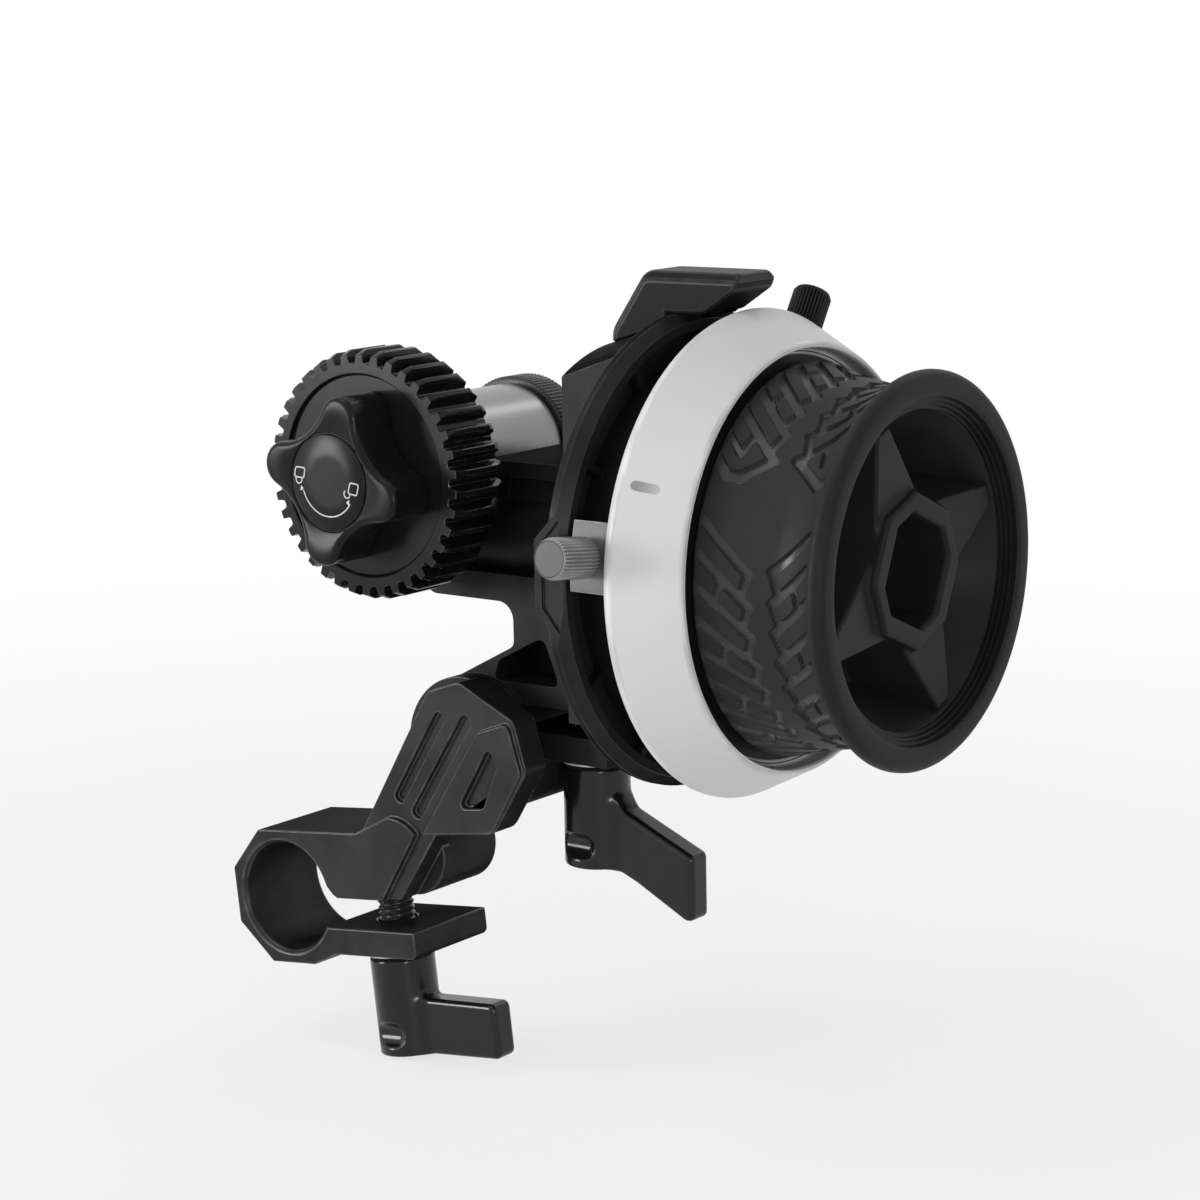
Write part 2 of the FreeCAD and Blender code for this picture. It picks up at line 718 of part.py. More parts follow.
pad(main_housing, "Y", "wheel_back - flange_flat", "wheel_back - flange_flat + 5", [
    (FLANGE_FRONT + " - flange_chamfer", "wheel_rise + tab_half_height + 3.4"),
    ("flange_rear - tab_rear", "wheel_rise + tab_half_height", "0.8"),
    ("flange_rear - tab_rear", "wheel_rise - tab_half_height + 1.6", "0.8"),
    (FLANGE_FRONT + " - flange_chamfer", "wheel_rise - tab_half_height - 2"),
])
pocket(main_housing, "Y", "wheel_back - 2 * flange_radius", "wheel_back - flange_flat",
       box("flange_rear - 1", FLANGE_FRONT + " + 1", "-flange_radius", "wheel_rise + 2 * flange_radius"))
pocket(main_housing, "Y", "wheel_back - flange_flat - 0.1", "wheel_back - flange_flat + tab_panel", [
    (FLANGE_FRONT + " - 0.9", "wheel_rise + tab_half_height + 2.6"),
    ("flange_rear - tab_rear + 1", "wheel_rise + tab_half_height - 0.3"),
    ("flange_rear - tab_rear + 1", "wheel_rise - tab_half_height + 1.9"),
    (FLANGE_FRONT + " - 0.9", "wheel_rise - tab_half_height - 1.2"),
])
turned(main_housing, "X", [
    (FLANGE_FRONT + " - cup_depth", "bearing_radius - 1"),
    (FLANGE_FRONT + " - cup_depth", "cup_radius"),
    (FLANGE_FRONT + " + 1", "cup_radius"),
    (FLANGE_FRONT + " + 1", "bearing_radius - 1"),
], centre=WHEEL_IN_HEAD, kind="Groove")
pocket(main_housing, "Y", "head_front - 0.1", "head_front + lip_depth", [
    ("output_across + (boss_radius + 0.3) * cos(5)", OUTPUT_RISE + " - (boss_radius + 0.3) * sin(5)",
     "0", "-(boss_radius + 0.3)"),
    ("output_across + (boss_radius + 0.3) * cos(70)", OUTPUT_RISE + " - (boss_radius + 0.3) * sin(70)"),
    ("output_across + (boss_radius + 0.3) * cos(70)", "head_low + low_lip_thick"),
    ("drum_rear - 1.5", "head_low + low_lip_thick"),
    ("drum_rear - 1.5", OUTPUT_RISE + " - (boss_radius + 0.3) * sin(5)"),
])
turned(main_housing, "X", box("output_across + 2", "drum_rear", "0", "bearing_radius + shaft_tube_wall"),
       centre=WHEEL_IN_HEAD)
pocket(main_housing, "Y", "head_front - 0.1", "head_front + leg_pocket", [
    ("3.4", "rib_top + 2.8", "0.8"),
    ("2.5", "rib_top + 0.2", "0.5"),
    ("lever_across - 0.4", "rib_top + 0.2", "0.8"),
    ("lever_across - 2.9", "rib_top + 6.6", "1.2"),
])
turned(main_housing, "Y", box("head_front - 1", "head_rear + 1", "0", "barrel_radius"),
       centre=OUTPUT_IN_HEAD, kind="Groove")
INPUT_END = "output_across - mesh_width / 2 - free_gap"
turned(main_housing, "X", [
    (INPUT_END + " - 1.5", "0"),
    (INPUT_END + " - 1.5", "shaft_radius + running_gap"),
    (INPUT_END, "shaft_radius + running_gap"),
    (INPUT_END, "bearing_radius"),
    (FLANGE_FRONT + " + 1", "bearing_radius"),
    (FLANGE_FRONT + " + 1", "0"),
], centre=WHEEL_IN_HEAD, kind="Groove")
pocket(main_housing, "Y", "0", "head_rear + 1", ("0", "0", "axle_radius + running_gap"))
pocket(main_housing, "Y", "-drum_radius", "wheel_back + drum_radius",
       box("axle_radius / 2", "ear_end + 2", "ear_top", "rib_low"))
pocket(main_housing, "Y", "-drum_radius", "wheel_back + drum_radius",
       box("ear_end", "ear_end + 2", "ear_low - 1", "ear_top + 0.1"))
pocket(main_housing, "Z", "ear_low - 0.1", "ear_top + 0.1",
       ("lever_across", "wheel_back", "stud_radius + 5 * running_gap"))
pocket(main_housing, "Z", "rib_low - 0.1", "rib_top + 1",
       ("lever_across", "wheel_back", "stud_radius + thread_gap"))


# Index pointer: seated on the drum, reaching over the flange and the marking disc
index_pointer = piece("index_pointer", PIVOT)
pointer = pad(index_pointer, "Y", "wheel_back + pointer_low_side", "wheel_back + pointer_high_side", [
    ("drum_rear + 0.9", "wheel_rise + drum_radius - 4"),
    ("flange_rear - side_gap", "wheel_rise + drum_radius - 4"),
    ("flange_rear - side_gap", "pointer_under"),
    ("pointer_tip - 5", "pointer_under", "2"),
    ("pointer_tip - 0.6", "pointer_top - 2.2"),
    ("pointer_tip", "pointer_top - 0.8"),
    ("pointer_tip - 0.3", "pointer_top"),
    ("drum_rear + 6.2", "pointer_top", "2.5"),
    ("drum_rear + 0.9", "pointer_top - 7.6", "3"),
])
eased(index_pointer, "Chamfer", pointer, "pointer_chamfer",
      lambda edge, middle: middle.z > value("pointer_top") - 0.1 and abs(edge.tangentAt(0).x) > 0.9)
turned(index_pointer, "X", [
    ("drum_rear - 3", "0"),
    ("drum_rear - 3", "drum_radius"),
    ("drum_rear", "drum_radius"),
    ("flange_rear", "drum_front_radius"),
    ("flange_rear - side_gap / 2", "flange_radius + side_gap"),
    (FLANGE_FRONT + " + 3", "flange_radius + side_gap"),
    (FLANGE_FRONT + " + 3", "0"),
], centre=WHEEL_IN_HEAD, kind="Groove")


# Stop rail: a ring round the wheel axis, held in the flange's cup by its outward ribs
CUP_FLOOR = FLANGE_FRONT + " - cup_depth"
stop_rail = piece("stop_rail", WHEEL)
turned(stop_rail, "X", box(CUP_FLOOR, "rail_front", "rail_radius - rail_wall", "rail_radius"))
rib = pad(stop_rail, "X", CUP_FLOOR, CUP_FLOOR + " + cup_rib_height",
          box("rail_radius - rail_wall / 2", "cup_radius - side_gap", "-cup_rib_thick / 2", "cup_rib_thick / 2"))
around(stop_rail, rib, "cup_ribs", "X")


# Barrel, its bearings and cap, and the knurled lock ring round its rear neck
RING_FRONT = "barrel_rear + side_gap"
NECK_END = RING_FRONT + " + lock_ring_width + side_gap"
output_barrel = piece("output_barrel", OUTPUT)
turned(output_barrel, "Y", [
    ("barrel_front", "bearing_radius"),
    ("barrel_front", "barrel_radius"),
    ("barrel_rear", "barrel_radius"),
    ("barrel_rear", "barrel_neck_radius"),
    (NECK_END, "barrel_neck_radius"),
    (NECK_END, "bearing_radius"),
])
MESH_CENTRE = ("0", "wheel_back", "-2 * mesh_radius")
turned(output_barrel, "X", box("-mesh_width / 2 - free_gap", "mesh_width / 2 + free_gap", "0", "bearing_radius"),
       centre=MESH_CENTRE, kind="Groove")
turned(output_barrel, "X", box("-barrel_radius", "barrel_radius", "0", "shaft_radius + free_gap"),
       centre=MESH_CENTRE, kind="Groove")

barrel_cap = piece("barrel_cap", OUTPUT)
turned(barrel_cap, "Y", [
    (NECK_END + " - 0.6", "0"),
    (NECK_END + " - 0.6", "bearing_radius"),
    (NECK_END, "bearing_radius"),
    (NECK_END, "lock_ring_radius - 0.9"),
    (NECK_END + " + barrel_cap_width", "lock_ring_radius - 0.9"),
    (NECK_END + " + barrel_cap_width", "0"),
])

lock_ring = piece("lock_ring", OUTPUT)
turned(lock_ring, "Y", [
    (RING_FRONT, "barrel_neck_radius + running_gap"),
    (RING_FRONT, "lock_ring_radius"),
    (RING_FRONT + " + lock_ring_width", "lock_ring_radius"),
    (RING_FRONT + " + lock_ring_width", "barrel_neck_radius + running_gap"),
])


def bearing(name, frame, axis, start):
    """A plain bearing bush between a shaft and its bore."""
    body = piece(name, frame)
    turned(body, axis, box(start, start + " + bearing_width", "shaft_radius + running_gap", "bearing_radius"))


bearing("output_bearing_front", OUTPUT, "Y", "barrel_front")
bearing("output_bearing_rear", OUTPUT, "Y", "barrel_rear - 0.4")
bearing("input_bearing_rear", WHEEL, "X", "output_across + barrel_radius + free_gap")
bearing("input_bearing_front", WHEEL, "X", CUP_FLOOR + " - 2 - bearing_width")


# Output shaft with its clip, the lens gear on its front end and the knob that locks the gear
output_shaft = piece("output_shaft", OUTPUT)
turned(output_shaft, "Y", [
    ("gear_front + gear_recess", "knob_stud_radius + thread_gap"),
    ("gear_front + gear_recess", "shaft_radius"),
    (NECK_END + " - 0.8", "shaft_radius"),
    (NECK_END + " - 0.8", "0"),
    ("gear_front + knob_stud_length + 0.5", "0"),
    ("gear_front + knob_stud_length + 0.5", "knob_stud_radius + thread_gap"),
])

output_clip = piece("output_clip", OUTPUT)
turned(output_clip, "Y",
       box("barrel_rear - 0.4 + bearing_width + side_gap", NECK_END + " - 0.8", "shaft_radius", "bearing_radius - 1"))

GEAR_RADIUS = "(gear_module * (gear_teeth + 2) / 2)"
GEAR_ROOT = "(gear_module * (gear_teeth - 2.4) / 2)"
drive_gear = piece("drive_gear", OUTPUT)
turned(drive_gear, "Y", [
    ("gear_front + gear_recess", "shaft_radius"),
    ("gear_front + gear_recess", "gear_recess_radius - 0.3"),
    ("gear_front", "gear_recess_radius"),
    ("gear_front", "gear_face_radius"),
    ("gear_land_front", GEAR_RADIUS),
    ("gear_land_rear", GEAR_RADIUS),
    ("gear_rear", "gear_face_radius"),
    ("gear_rear", "shaft_radius"),
])
TOOTH_PITCH = "(gear_module * pi)"
gap = pocket(drive_gear, "Y", "gear_front - 1", "gear_rear + 1", [
    ("-0.24 * " + TOOTH_PITCH, GEAR_ROOT),
    ("0.24 * " + TOOTH_PITCH, GEAR_ROOT),
    ("0.37 * " + TOOTH_PITCH, GEAR_RADIUS + " + 0.1"),
    ("-0.37 * " + TOOTH_PITCH, GEAR_RADIUS + " + 0.1"),
])
around(drive_gear, gap, "gear_teeth", "Y")

KNOB_REAR = "gear_front + gear_recess - side_gap"
KNOB_FRONT = KNOB_REAR + " - knob_thick"
gear_knob = piece("gear_knob", OUTPUT)


def lobed(sketch):
    """Four round lobes joined by shallow curved valleys, every arc tangent to the next."""
    lobe = value("knob_lobe_radius")
    valley = value("knob_valley_radius")
    out = value("knob_lobe_centre")
    side = out * math.sin(math.pi / 4)
    far = side + math.sqrt((lobe + valley) ** 2 - side ** 2)
    turn = value("knob_turn")
    joint = far - (far - side) * valley / (lobe + valley)
    reach = side * valley / (lobe + valley)

    def spot(radius, angle, across=0):
        return Rotation(Vector(0, 0, 1), angle).multVec(Vector(radius, across, 0))

    lobes, valleys = [], []
    for quarter in range(4):
        angle = turn + 90 * quarter
        before, after = spot(joint, angle - 45, reach), spot(joint, angle + 45, -reach)
        lobes.append(sketch.addGeometry(Part.Arc(before, spot(out + lobe, angle), after)))
        start, end = after, spot(joint, angle + 45, reach)
        valleys.append(sketch.addGeometry(Part.Arc(start, spot(far - valley, angle + 45), end)))
    for quarter in range(4):
        angle = "knob_turn + %d" % (90 * quarter)
        pin(sketch, lobes[quarter], 3, "knob_lobe_centre * cos(%s)" % angle, "knob_lobe_centre * sin(%s)" % angle)
        hold(sketch, "Radius", (lobes[quarter],), "knob_lobe_radius")
        hold(sketch, "Radius", (valleys[quarter],), "knob_valley_radius")
        following = lobes[(quarter + 1) % 4]
        sketch.addConstraint(Sketcher.Constraint("Tangent", lobes[quarter], 2, valleys[quarter], 2))
        sketch.addConstraint(Sketcher.Constraint("Tangent", valleys[quarter], 1, following, 1))


knob_sketch = new_sketch(gear_knob, "Y", CLAMP, KNOB_REAR)
lobed(knob_sketch)
knob_pad = gear_knob.newObject("PartDesign::Pad", "gear_knob_pad")
knob_pad.Profile = knob_sketch
knob_pad.setExpression("Length", bound("knob_thick"))
eased(gear_knob, "Chamfer", knob_pad, "knob_round",
      lambda edge, middle: abs(middle.y - value(KNOB_FRONT)) < 0.01)
turned(gear_knob, "Y", box(KNOB_FRONT + " - 0.1", KNOB_FRONT + " + knob_groove",
                           "knob_groove_radius - 0.2", "knob_groove_radius + 0.2"), kind="Groove")
pocket(gear_knob, "Y", KNOB_REAR + " - 4", KNOB_REAR + " + 0.1", ("0", "0", "knob_stud_radius"))

knob_stud = piece("knob_stud", OUTPUT)
turned(knob_stud, "Y", box(KNOB_REAR + " - 4", "gear_front + knob_stud_length", "0", "knob_stud_radius"))


# Input shaft and the handwheel on it: core, rubber grip, marking disc, hub screw and stop lug
SHAFT_END = "(core_floor - core_floor_thick)"
input_shaft = piece("input_shaft", WHEEL)
turned(input_shaft, "X", [
    (INPUT_END + " - 1.3", "0"),
    (INPUT_END + " - 1.3", "shaft_radius"),
    (SHAFT_END, "shaft_radius"),
    (SHAFT_END, "hub_thread_radius"),
    (SHAFT_END + " - hub_thread_length", "hub_thread_radius"),
    (SHAFT_END + " - hub_thread_length", "0"),
])

DISC_SHOULDER = "disc_rear + disc_seat_length"
wheel_core = piece("wheel_core", WHEEL, (Vector(1, 0, 0), "star_turn"))
turned(wheel_core, "X", [
    ("core_hub_rear", "shaft_radius"),
    ("core_hub_rear", "core_hub_radius"),
    ("dish_floor - core_floor_thick", "core_hub_radius"),
    ("dish_floor - core_floor_thick", "core_wall_radius - 2.3"),
    ("disc_rear + 0.3", "core_wall_radius - 2.3"),
    ("disc_rear + 0.3", "disc_seat_radius"),
    (DISC_SHOULDER, "disc_seat_radius"),
    (DISC_SHOULDER, "grip_rear_radius - 0.8"),
    ("grip_rear", "grip_rear_radius - 0.8"),
    ("grip_rear", "core_wall_radius"),
    ("core_front", "core_wall_radius"),
] + [
    ("core_front - %d * dish_step" % (step // 2), "core_wall_radius - %d * dish_step" % ((step + 1) // 2))
    for step in range(1, 6)
] + [
    ("core_front - 3 * dish_step", "dish_rim_radius"),
    ("dish_floor", "dish_floor_radius"),
    ("dish_floor", "0"),
    (SHAFT_END, "0"),
    (SHAFT_END, "shaft_radius"),
])


def clipped_square(flat, corner):
    """A square standing on a corner, with its corners clipped."""
    near = "%s / sqrt(2)" % corner
    far = "(2 * (%s) - (%s)) / sqrt(2)" % (flat, corner)
    return [
        (near, far), ("-" + near, far), ("-" + far, near), ("-" + far, "-" + near),
        ("-" + near, "-" + far), (near, "-" + far), (far, "-" + near), (far, near),
    ]


pad(wheel_core, "X", "dish_floor - 0.1", "socket_front - socket_bevel",
    clipped_square("(socket_flat + socket_wall)", "(socket_corner + 1)"))
pad(wheel_core, "X", "dish_floor - 0.1", "socket_front",
    clipped_square("(socket_flat + socket_wall / 2)", "(socket_corner + 0.5)"))
ray = pad(wheel_core, "Y", "ray_inner", "ray_outer", [
    ("dish_floor - 2", "-ray_half_width"),
    ("ray_top - ray_fall", "-ray_half_width"),
    ("ray_top", "0"),
    ("ray_top - ray_fall", "ray_half_width"),
    ("dish_floor - 2", "ray_half_width"),
])
ray.UseCustomVector = True
ray.Direction = Vector(-1, -1, 0)
ray.AlongSketchNormal = True
around(wheel_core, ray, "4", "X")
pocket(wheel_core, "X", "core_floor", "socket_front + 0.1", clipped_square("socket_flat", "socket_corner"))
pocket(wheel_core, "X", SHAFT_END + " - 0.1", "core_floor + 0.1", ("0", "0", "hub_thread_radius"))

wheel_grip = piece("wheel_grip", WHEEL)
turned(wheel_grip, "X", [
    ("grip_rear", "core_wall_radius"),
    ("grip_rear", "grip_rear_radius"),
    ("grip_mid", "grip_mid_radius"),
    ("grip_waist", "grip_waist_radius"),
    ("grip_waist_end", "grip_waist_radius"),
    ("grip_waist_end + 2.6", "grip_waist_radius + 0.9"),
    ("grip_flange", "grip_flange_radius", "grip_round"),
    ("grip_front", "grip_flange_radius - 1.1"),
    ("grip_front", "core_wall_radius"),
])

marking_disc = piece("marking_disc", WHEEL)
turned(marking_disc, "X", [
    ("disc_rear", "disc_seat_radius"),
    ("disc_rear", "disc_radius", "disc_round"),
    ("disc_front", "disc_lip_radius"),
    ("disc_front", "disc_bore_radius"),
    (DISC_SHOULDER, "disc_bore_radius"),
    (DISC_SHOULDER, "disc_seat_radius"),
])

hub_screw = piece("hub_screw", WHEEL)
turned(hub_screw, "X", [
    (SHAFT_END + " - hub_thread_length", "0"),
    (SHAFT_END + " - hub_thread_length", "hub_thread_radius"),
    ("core_floor", "hub_thread_radius"),
    ("core_floor", "hub_screw_radius"),
    ("core_floor + hub_screw_head", "hub_screw_radius"),
    ("core_floor + hub_screw_head", "0"),
])
pocket(hub_screw, "X", "core_floor + hub_screw_head / 2", "core_floor + hub_screw_head + 0.1",
       hexagon("hub_screw_radius / 2"))

stop_lug = piece("stop_lug", WHEEL, (Vector(1, 0, 0), "lug_angle"))
pad(stop_lug, "X", "stop_rear + 2 * free_gap", "disc_rear",
    sector("(rail_radius + free_gap)", "lug_radius", "lug_half_angle"))


# Hard stops: two sliders on the rail, each clamped by a thumbscrew that points out
for letter in "ab":
    turn = (Vector(1, 0, 0), "stop_%s_angle" % letter)
    slider = piece("stop_slider_" + letter, WHEEL, turn)
    pad(slider, "X", "stop_rear", "stop_front",
        sector("(rail_radius + thread_gap)", "stop_radius", "stop_half_angle"))
    turned(slider, "Y", box("rail_radius - 1", "stop_radius + 1", "0", "stop_thread_radius + thread_gap"),
           centre=("stop_screw_across", "0", "0"), kind="Groove")
    screw = piece("stop_screw_" + letter, WHEEL, turn)
    turned(screw, "Y", [
        ("rail_radius + 3 * thread_gap", "0"),
        ("rail_radius + 3 * thread_gap", "stop_thread_radius"),
        ("stop_radius + thread_gap", "stop_thread_radius"),
        ("stop_radius + thread_gap", "stop_neck_radius"),
        ("stop_head_low", "stop_neck_radius"),
        ("stop_head_low", "stop_screw_radius"),
        ("stop_head_high", "stop_screw_radius", "0.5"),
        ("stop_head_high", "0"),
    ], centre=("stop_screw_across", "0", "0"))


# Springs and the crossed helical pair: skins of flat facets through rings of points
def skin(name, rings, place, bore=None):
    """A solid through equal rings of points, closed at both ends, less a bore along Z."""
    faces = [Part.Face(Part.makePolygon(ring + ring[:1])) for ring in (rings[0], rings[-1])]
    for low, high in zip(rings, rings[1:]):
        for i, corner in enumerate(low):
            after = (i + 1) % len(low)
            for facet in ((corner, low[after], high[after]), (corner, high[after], high[i])):
                faces.append(Part.Face(Part.makePolygon(list(facet) + [corner])))
    solid = Part.makeSolid(Part.makeShell(faces))
    if solid.Volume < 0:
        solid.reverse()
    if bore:
        solid = solid.cut(bore)
    skinned = doc.addObject("Part::Feature", name)
    skinned.Label = name
    skinned.Shape = solid
    skinned.Placement = place


def helical(name, frame, axis, middle, share=0):
    """A left-hand helical gear at 45 degrees, turned on by a share of a tooth."""
    teeth = 8
    pitch = value("mesh_radius")
    tip = pitch + value("mesh_tip")
    root = pitch - value("mesh_root")
    width = value("mesh_width")
    steps = 4
    rings = []
    for step in range(steps + 1):
        along = width * (step / steps - 0.5)
        ring = []
        for tooth in range(teeth):
            for radius, side in ((root, -0.31), (tip, -0.12), (tip, 0.12), (root, 0.31)):
                angle = 2 * math.pi * (tooth + side + share) / teeth - along / pitch
                ring.append(Vector(radius * math.cos(angle), radius * math.sin(angle), along))
        rings.append(ring)
    bore = Part.makeCylinder(value("shaft_radius"), 2 * width, Vector(0, 0, -width))
    turn = Rotation(Vector(0, 0, 1), Vector(1, 0, 0) if axis == "X" else Vector(0, 1, 0))
    along = Vector(value(middle), 0, 0) if axis == "X" else Vector(0, value(middle), 0)
    skin(name, rings, Placement(Vector(*[value(text) for text in frame]) + along, turn), bore)


helical("input_gear", WHEEL, "X", "output_across")
helical("output_gear", OUTPUT, "Y", "wheel_back", 0.5)

for name, low, high in SPRINGS:
    wire = value("spring_wire")
    lead = (value(high) - value(low) - 2 * wire) / value("spring_turns")
    rings = []
    for step in range(int(10 * value("spring_turns")) + 1):
        turn = 2 * math.pi * step / 10
        rise = value(low) + wire + lead * step / 10
        rings.append([
            Vector(out * math.cos(turn), out * math.sin(turn), rise + up)
            for out, up in ((value("spring_radius") - wire, 0), (value("spring_radius"), -wire),
                            (value("spring_radius") + wire, 0), (value("spring_radius"), wire))
        ])
    skin(name, rings, doc.getObject(name.replace("spring", "screw")).Placement)

doc.recompute()
for item in doc.Objects:
    if "Invalid" in item.State or "Error" in item.State:
        raise RuntimeError("%s did not build: %s" % (item.Label, item.State))
    if item.TypeId in ("PartDesign::Pocket", "PartDesign::Groove"):
        if item.BaseFeature.Shape.Volume - item.Shape.Volume < 1e-6:
            raise RuntimeError("%s cuts nothing" % item.Label)

os.makedirs("parts", exist_ok=True)
for node in doc.Objects:
    if node.TypeId in ("PartDesign::Body", "Part::Feature") and node.getParentGeoFeatureGroup() is None:
        if node.Shape.isNull() or not node.Shape.isValid():
            raise RuntimeError(node.Label + " is not a sound shape")
        node.Shape.exportStep("parts/%s.step" % node.Label)
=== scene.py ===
import math

import bpy
import numpy as np
from mathutils import Matrix, Vector


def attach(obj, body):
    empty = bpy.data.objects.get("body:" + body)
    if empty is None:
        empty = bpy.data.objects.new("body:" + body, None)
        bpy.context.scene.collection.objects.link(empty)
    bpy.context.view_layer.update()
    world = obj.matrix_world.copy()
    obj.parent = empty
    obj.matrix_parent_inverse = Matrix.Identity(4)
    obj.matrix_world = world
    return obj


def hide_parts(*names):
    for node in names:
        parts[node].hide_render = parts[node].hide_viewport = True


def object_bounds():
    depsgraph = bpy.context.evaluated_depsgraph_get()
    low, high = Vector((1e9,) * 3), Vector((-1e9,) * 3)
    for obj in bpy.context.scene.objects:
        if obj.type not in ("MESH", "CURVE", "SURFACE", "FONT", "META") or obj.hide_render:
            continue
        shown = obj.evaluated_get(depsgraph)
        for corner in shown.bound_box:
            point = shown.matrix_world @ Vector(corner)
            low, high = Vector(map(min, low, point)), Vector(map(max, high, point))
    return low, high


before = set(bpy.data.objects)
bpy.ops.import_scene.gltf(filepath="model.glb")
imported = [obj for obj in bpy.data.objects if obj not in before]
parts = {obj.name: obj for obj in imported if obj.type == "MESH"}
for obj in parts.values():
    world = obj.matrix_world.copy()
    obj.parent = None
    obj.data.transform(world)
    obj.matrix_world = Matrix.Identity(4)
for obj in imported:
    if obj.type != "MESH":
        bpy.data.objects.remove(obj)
cad_low, cad_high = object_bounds()


# Camera: a long lens in front of the gear and to the right of the wheel, a little above both,
# so that the gear's face and the wheel's dish show together.
camera = bpy.data.objects.new("camera", bpy.data.cameras.new("camera"))
bpy.context.scene.collection.objects.link(camera)
bpy.context.scene.camera = camera
camera.data.sensor_width = 36
camera.data.lens = 93.142
camera.data.clip_start = 0.02
camera.data.clip_end = 60
camera_right = Vector((0.79747, 0.60307, -0.01865))
camera_up = Vector((-0.09732, 0.15907, 0.98246))
camera_back = Vector((0.59546, -0.78167, 0.18555))
camera_turn = Matrix((camera_right, camera_up, camera_back)).transposed().to_4x4()
camera.matrix_world = Matrix.Translation((0.28081, -0.30455, 0.11690)) @ camera_turn
bpy.context.scene.view_settings.view_transform = "Standard"


# Studio: a pale floor under the lower lever's foot and a white sky. The floor is painted board
# that fades into the sky a little way off and keeps only a light shadow. Soft boxes light it.
class Shade:
    """A socket in a shader tree. Sums on it add Math nodes, and add() makes any other node."""

    def __init__(self, tree, socket=None):
        self.tree = tree
        self.socket = socket

    def add(self, kind, settings, values, output=0):
        """A new node, with its settings first and then its sockets' values or links."""
        node = self.tree.nodes.new("ShaderNode" + kind)
        for name, setting in settings.items():
            setattr(node, name, setting)
        for name, given in values.items():
            if isinstance(name, int):
                socket = node.inputs[name]
            else:
                socket = next(s for s in node.inputs if s.enabled and s.name == name)
            if isinstance(given, Shade):
                self.tree.links.new(given.socket, socket)
            else:
                socket.default_value = given
        if not node.outputs:
            return None
        if isinstance(output, str):
            return Shade(self.tree, node.outputs[output])
        return Shade(self.tree, [s for s in node.outputs if s.enabled][output])

    def maths(self, operation, first, second=0.0):
        return self.add("Math", {"operation": operation}, {0: first, 1: second})

    def __add__(self, other):
        return self.maths("ADD", self, other)

    def __radd__(self, other):
        return self.maths("ADD", other, self)

    def __sub__(self, other):
        return self.maths("SUBTRACT", self, other)

    def __rsub__(self, other):
        return self.maths("SUBTRACT", other, self)

    def __mul__(self, other):
        return self.maths("MULTIPLY", self, other)

    def __rmul__(self, other):
        return self.maths("MULTIPLY", other, self)

    def __abs__(self):
        return self.maths("ABSOLUTE", self)

    def __pow__(self, other):
        return self.maths("POWER", self, other)

    def over(self, least):
        """This, or the least value where it is lower."""
        return self.maths("MAXIMUM", self, least)

    def ease(self, start, end):
        """0 before start, 1 past end, and smooth between. Start may be the larger one."""
        return self.add("MapRange", {"interpolation_type": "SMOOTHSTEP"},
                        {"Value": self, "From Min": start, "From Max": end})

    def between(self, dark, light):
        """From one colour to another as this goes from 0 to 1."""
        return self.add("Mix", {"data_type": "RGBA"}, {"Factor": self, "A": dark, "B": light})

    def place(self):
        """The spot on the piece, in millimetres of the frame at rest."""
        spot = self.add("TexCoord", {}, {}, "Object")
        return self.add("VectorMath", {"operation": "SCALE"}, {0: spot, "Scale": 1000.0})

    def stretched(self, x, y, z):
        """The spot scaled apart along each axis."""
        return self.add("VectorMath", {"operation": "MULTIPLY"}, {0: self, 1: (x, y, z)})

    def along(self, direction, level=0.0):
        """How far the spot is along a direction, past a level."""
        reach = self.add("VectorMath", {"operation": "DOT_PRODUCT"}, {0: self, 1: direction}, "Value")
        return reach - level

    def noise(self, scale, detail=2.0):
        """Soft noise at the spot, with features about 1/scale mm wide."""
        return self.add("TexNoise", {}, {"Vector": self, "Scale": scale, "Detail": detail})

    def bump(self, strength, distance):
        """A normal raised by this height."""
        return self.add("Bump", {}, {"Height": self, "Strength": strength, "Distance": distance})


def grey(level):
    """A neutral colour."""
    return (level, level, level, 1.0)


def seen(start):
    """1 for rays that come from the camera or off a shiny or clear surface."""
    rays = [start.add("LightPath", {}, {}, kind)
            for kind in ("Is Camera Ray", "Is Glossy Ray", "Is Transmission Ray")]
    return start.add("Clamp", {}, {"Value": rays[0] + rays[1] + rays[2]})


def ring_faces(rings, sides, closed=False):
    """Faces from each ring of points to the next one, and from the last to the first if closed."""
    faces = []
    for ring in range(rings if closed else rings - 1):
        here = ring * sides
        there = (ring + 1) % rings * sides
        for side in range(sides):
            after = (side + 1) % sides
            faces.append((here + side, here + after, there + after, there + side))
    return faces


def turned_over(faces):
    """The same four-sided faces, seen from their other side."""
    return [(first, fourth, third, second) for first, second, third, fourth in faces]


FLOOR_SIDES = 48
floor_level = cad_low.z - 0.0001
floor_radii = [0.15, 0.4, 1.0, 3.0, 8.0]
floor_turns = [math.tau * side / FLOOR_SIDES for side in range(FLOOR_SIDES)]
floor_points = [(radius * math.cos(angle), radius * math.sin(angle), floor_level)
                for radius in floor_radii for angle in floor_turns]
floor_faces = [tuple(range(FLOOR_SIDES))]
floor_faces += turned_over(ring_faces(len(floor_radii), FLOOR_SIDES))
floor_mesh = bpy.data.meshes.new("studio_floor")
floor_mesh.from_pydata(floor_points, [], floor_faces)
studio_floor = bpy.data.objects.new("studio_floor", floor_mesh)
bpy.context.scene.collection.objects.link(studio_floor)
floor_paint = bpy.data.materials.new("floor_paint")
floor_paint.use_nodes = True
floor_paint.node_tree.nodes.clear()
floor_start = Shade(floor_paint.node_tree)
floor_reach = floor_start.add("VectorMath", {"operation": "LENGTH"}, {0: floor_start.place()}, "Value")
floor_board = floor_start.add("BsdfDiffuse", {}, {"Color": (0.86, 0.86, 0.86, 1)})
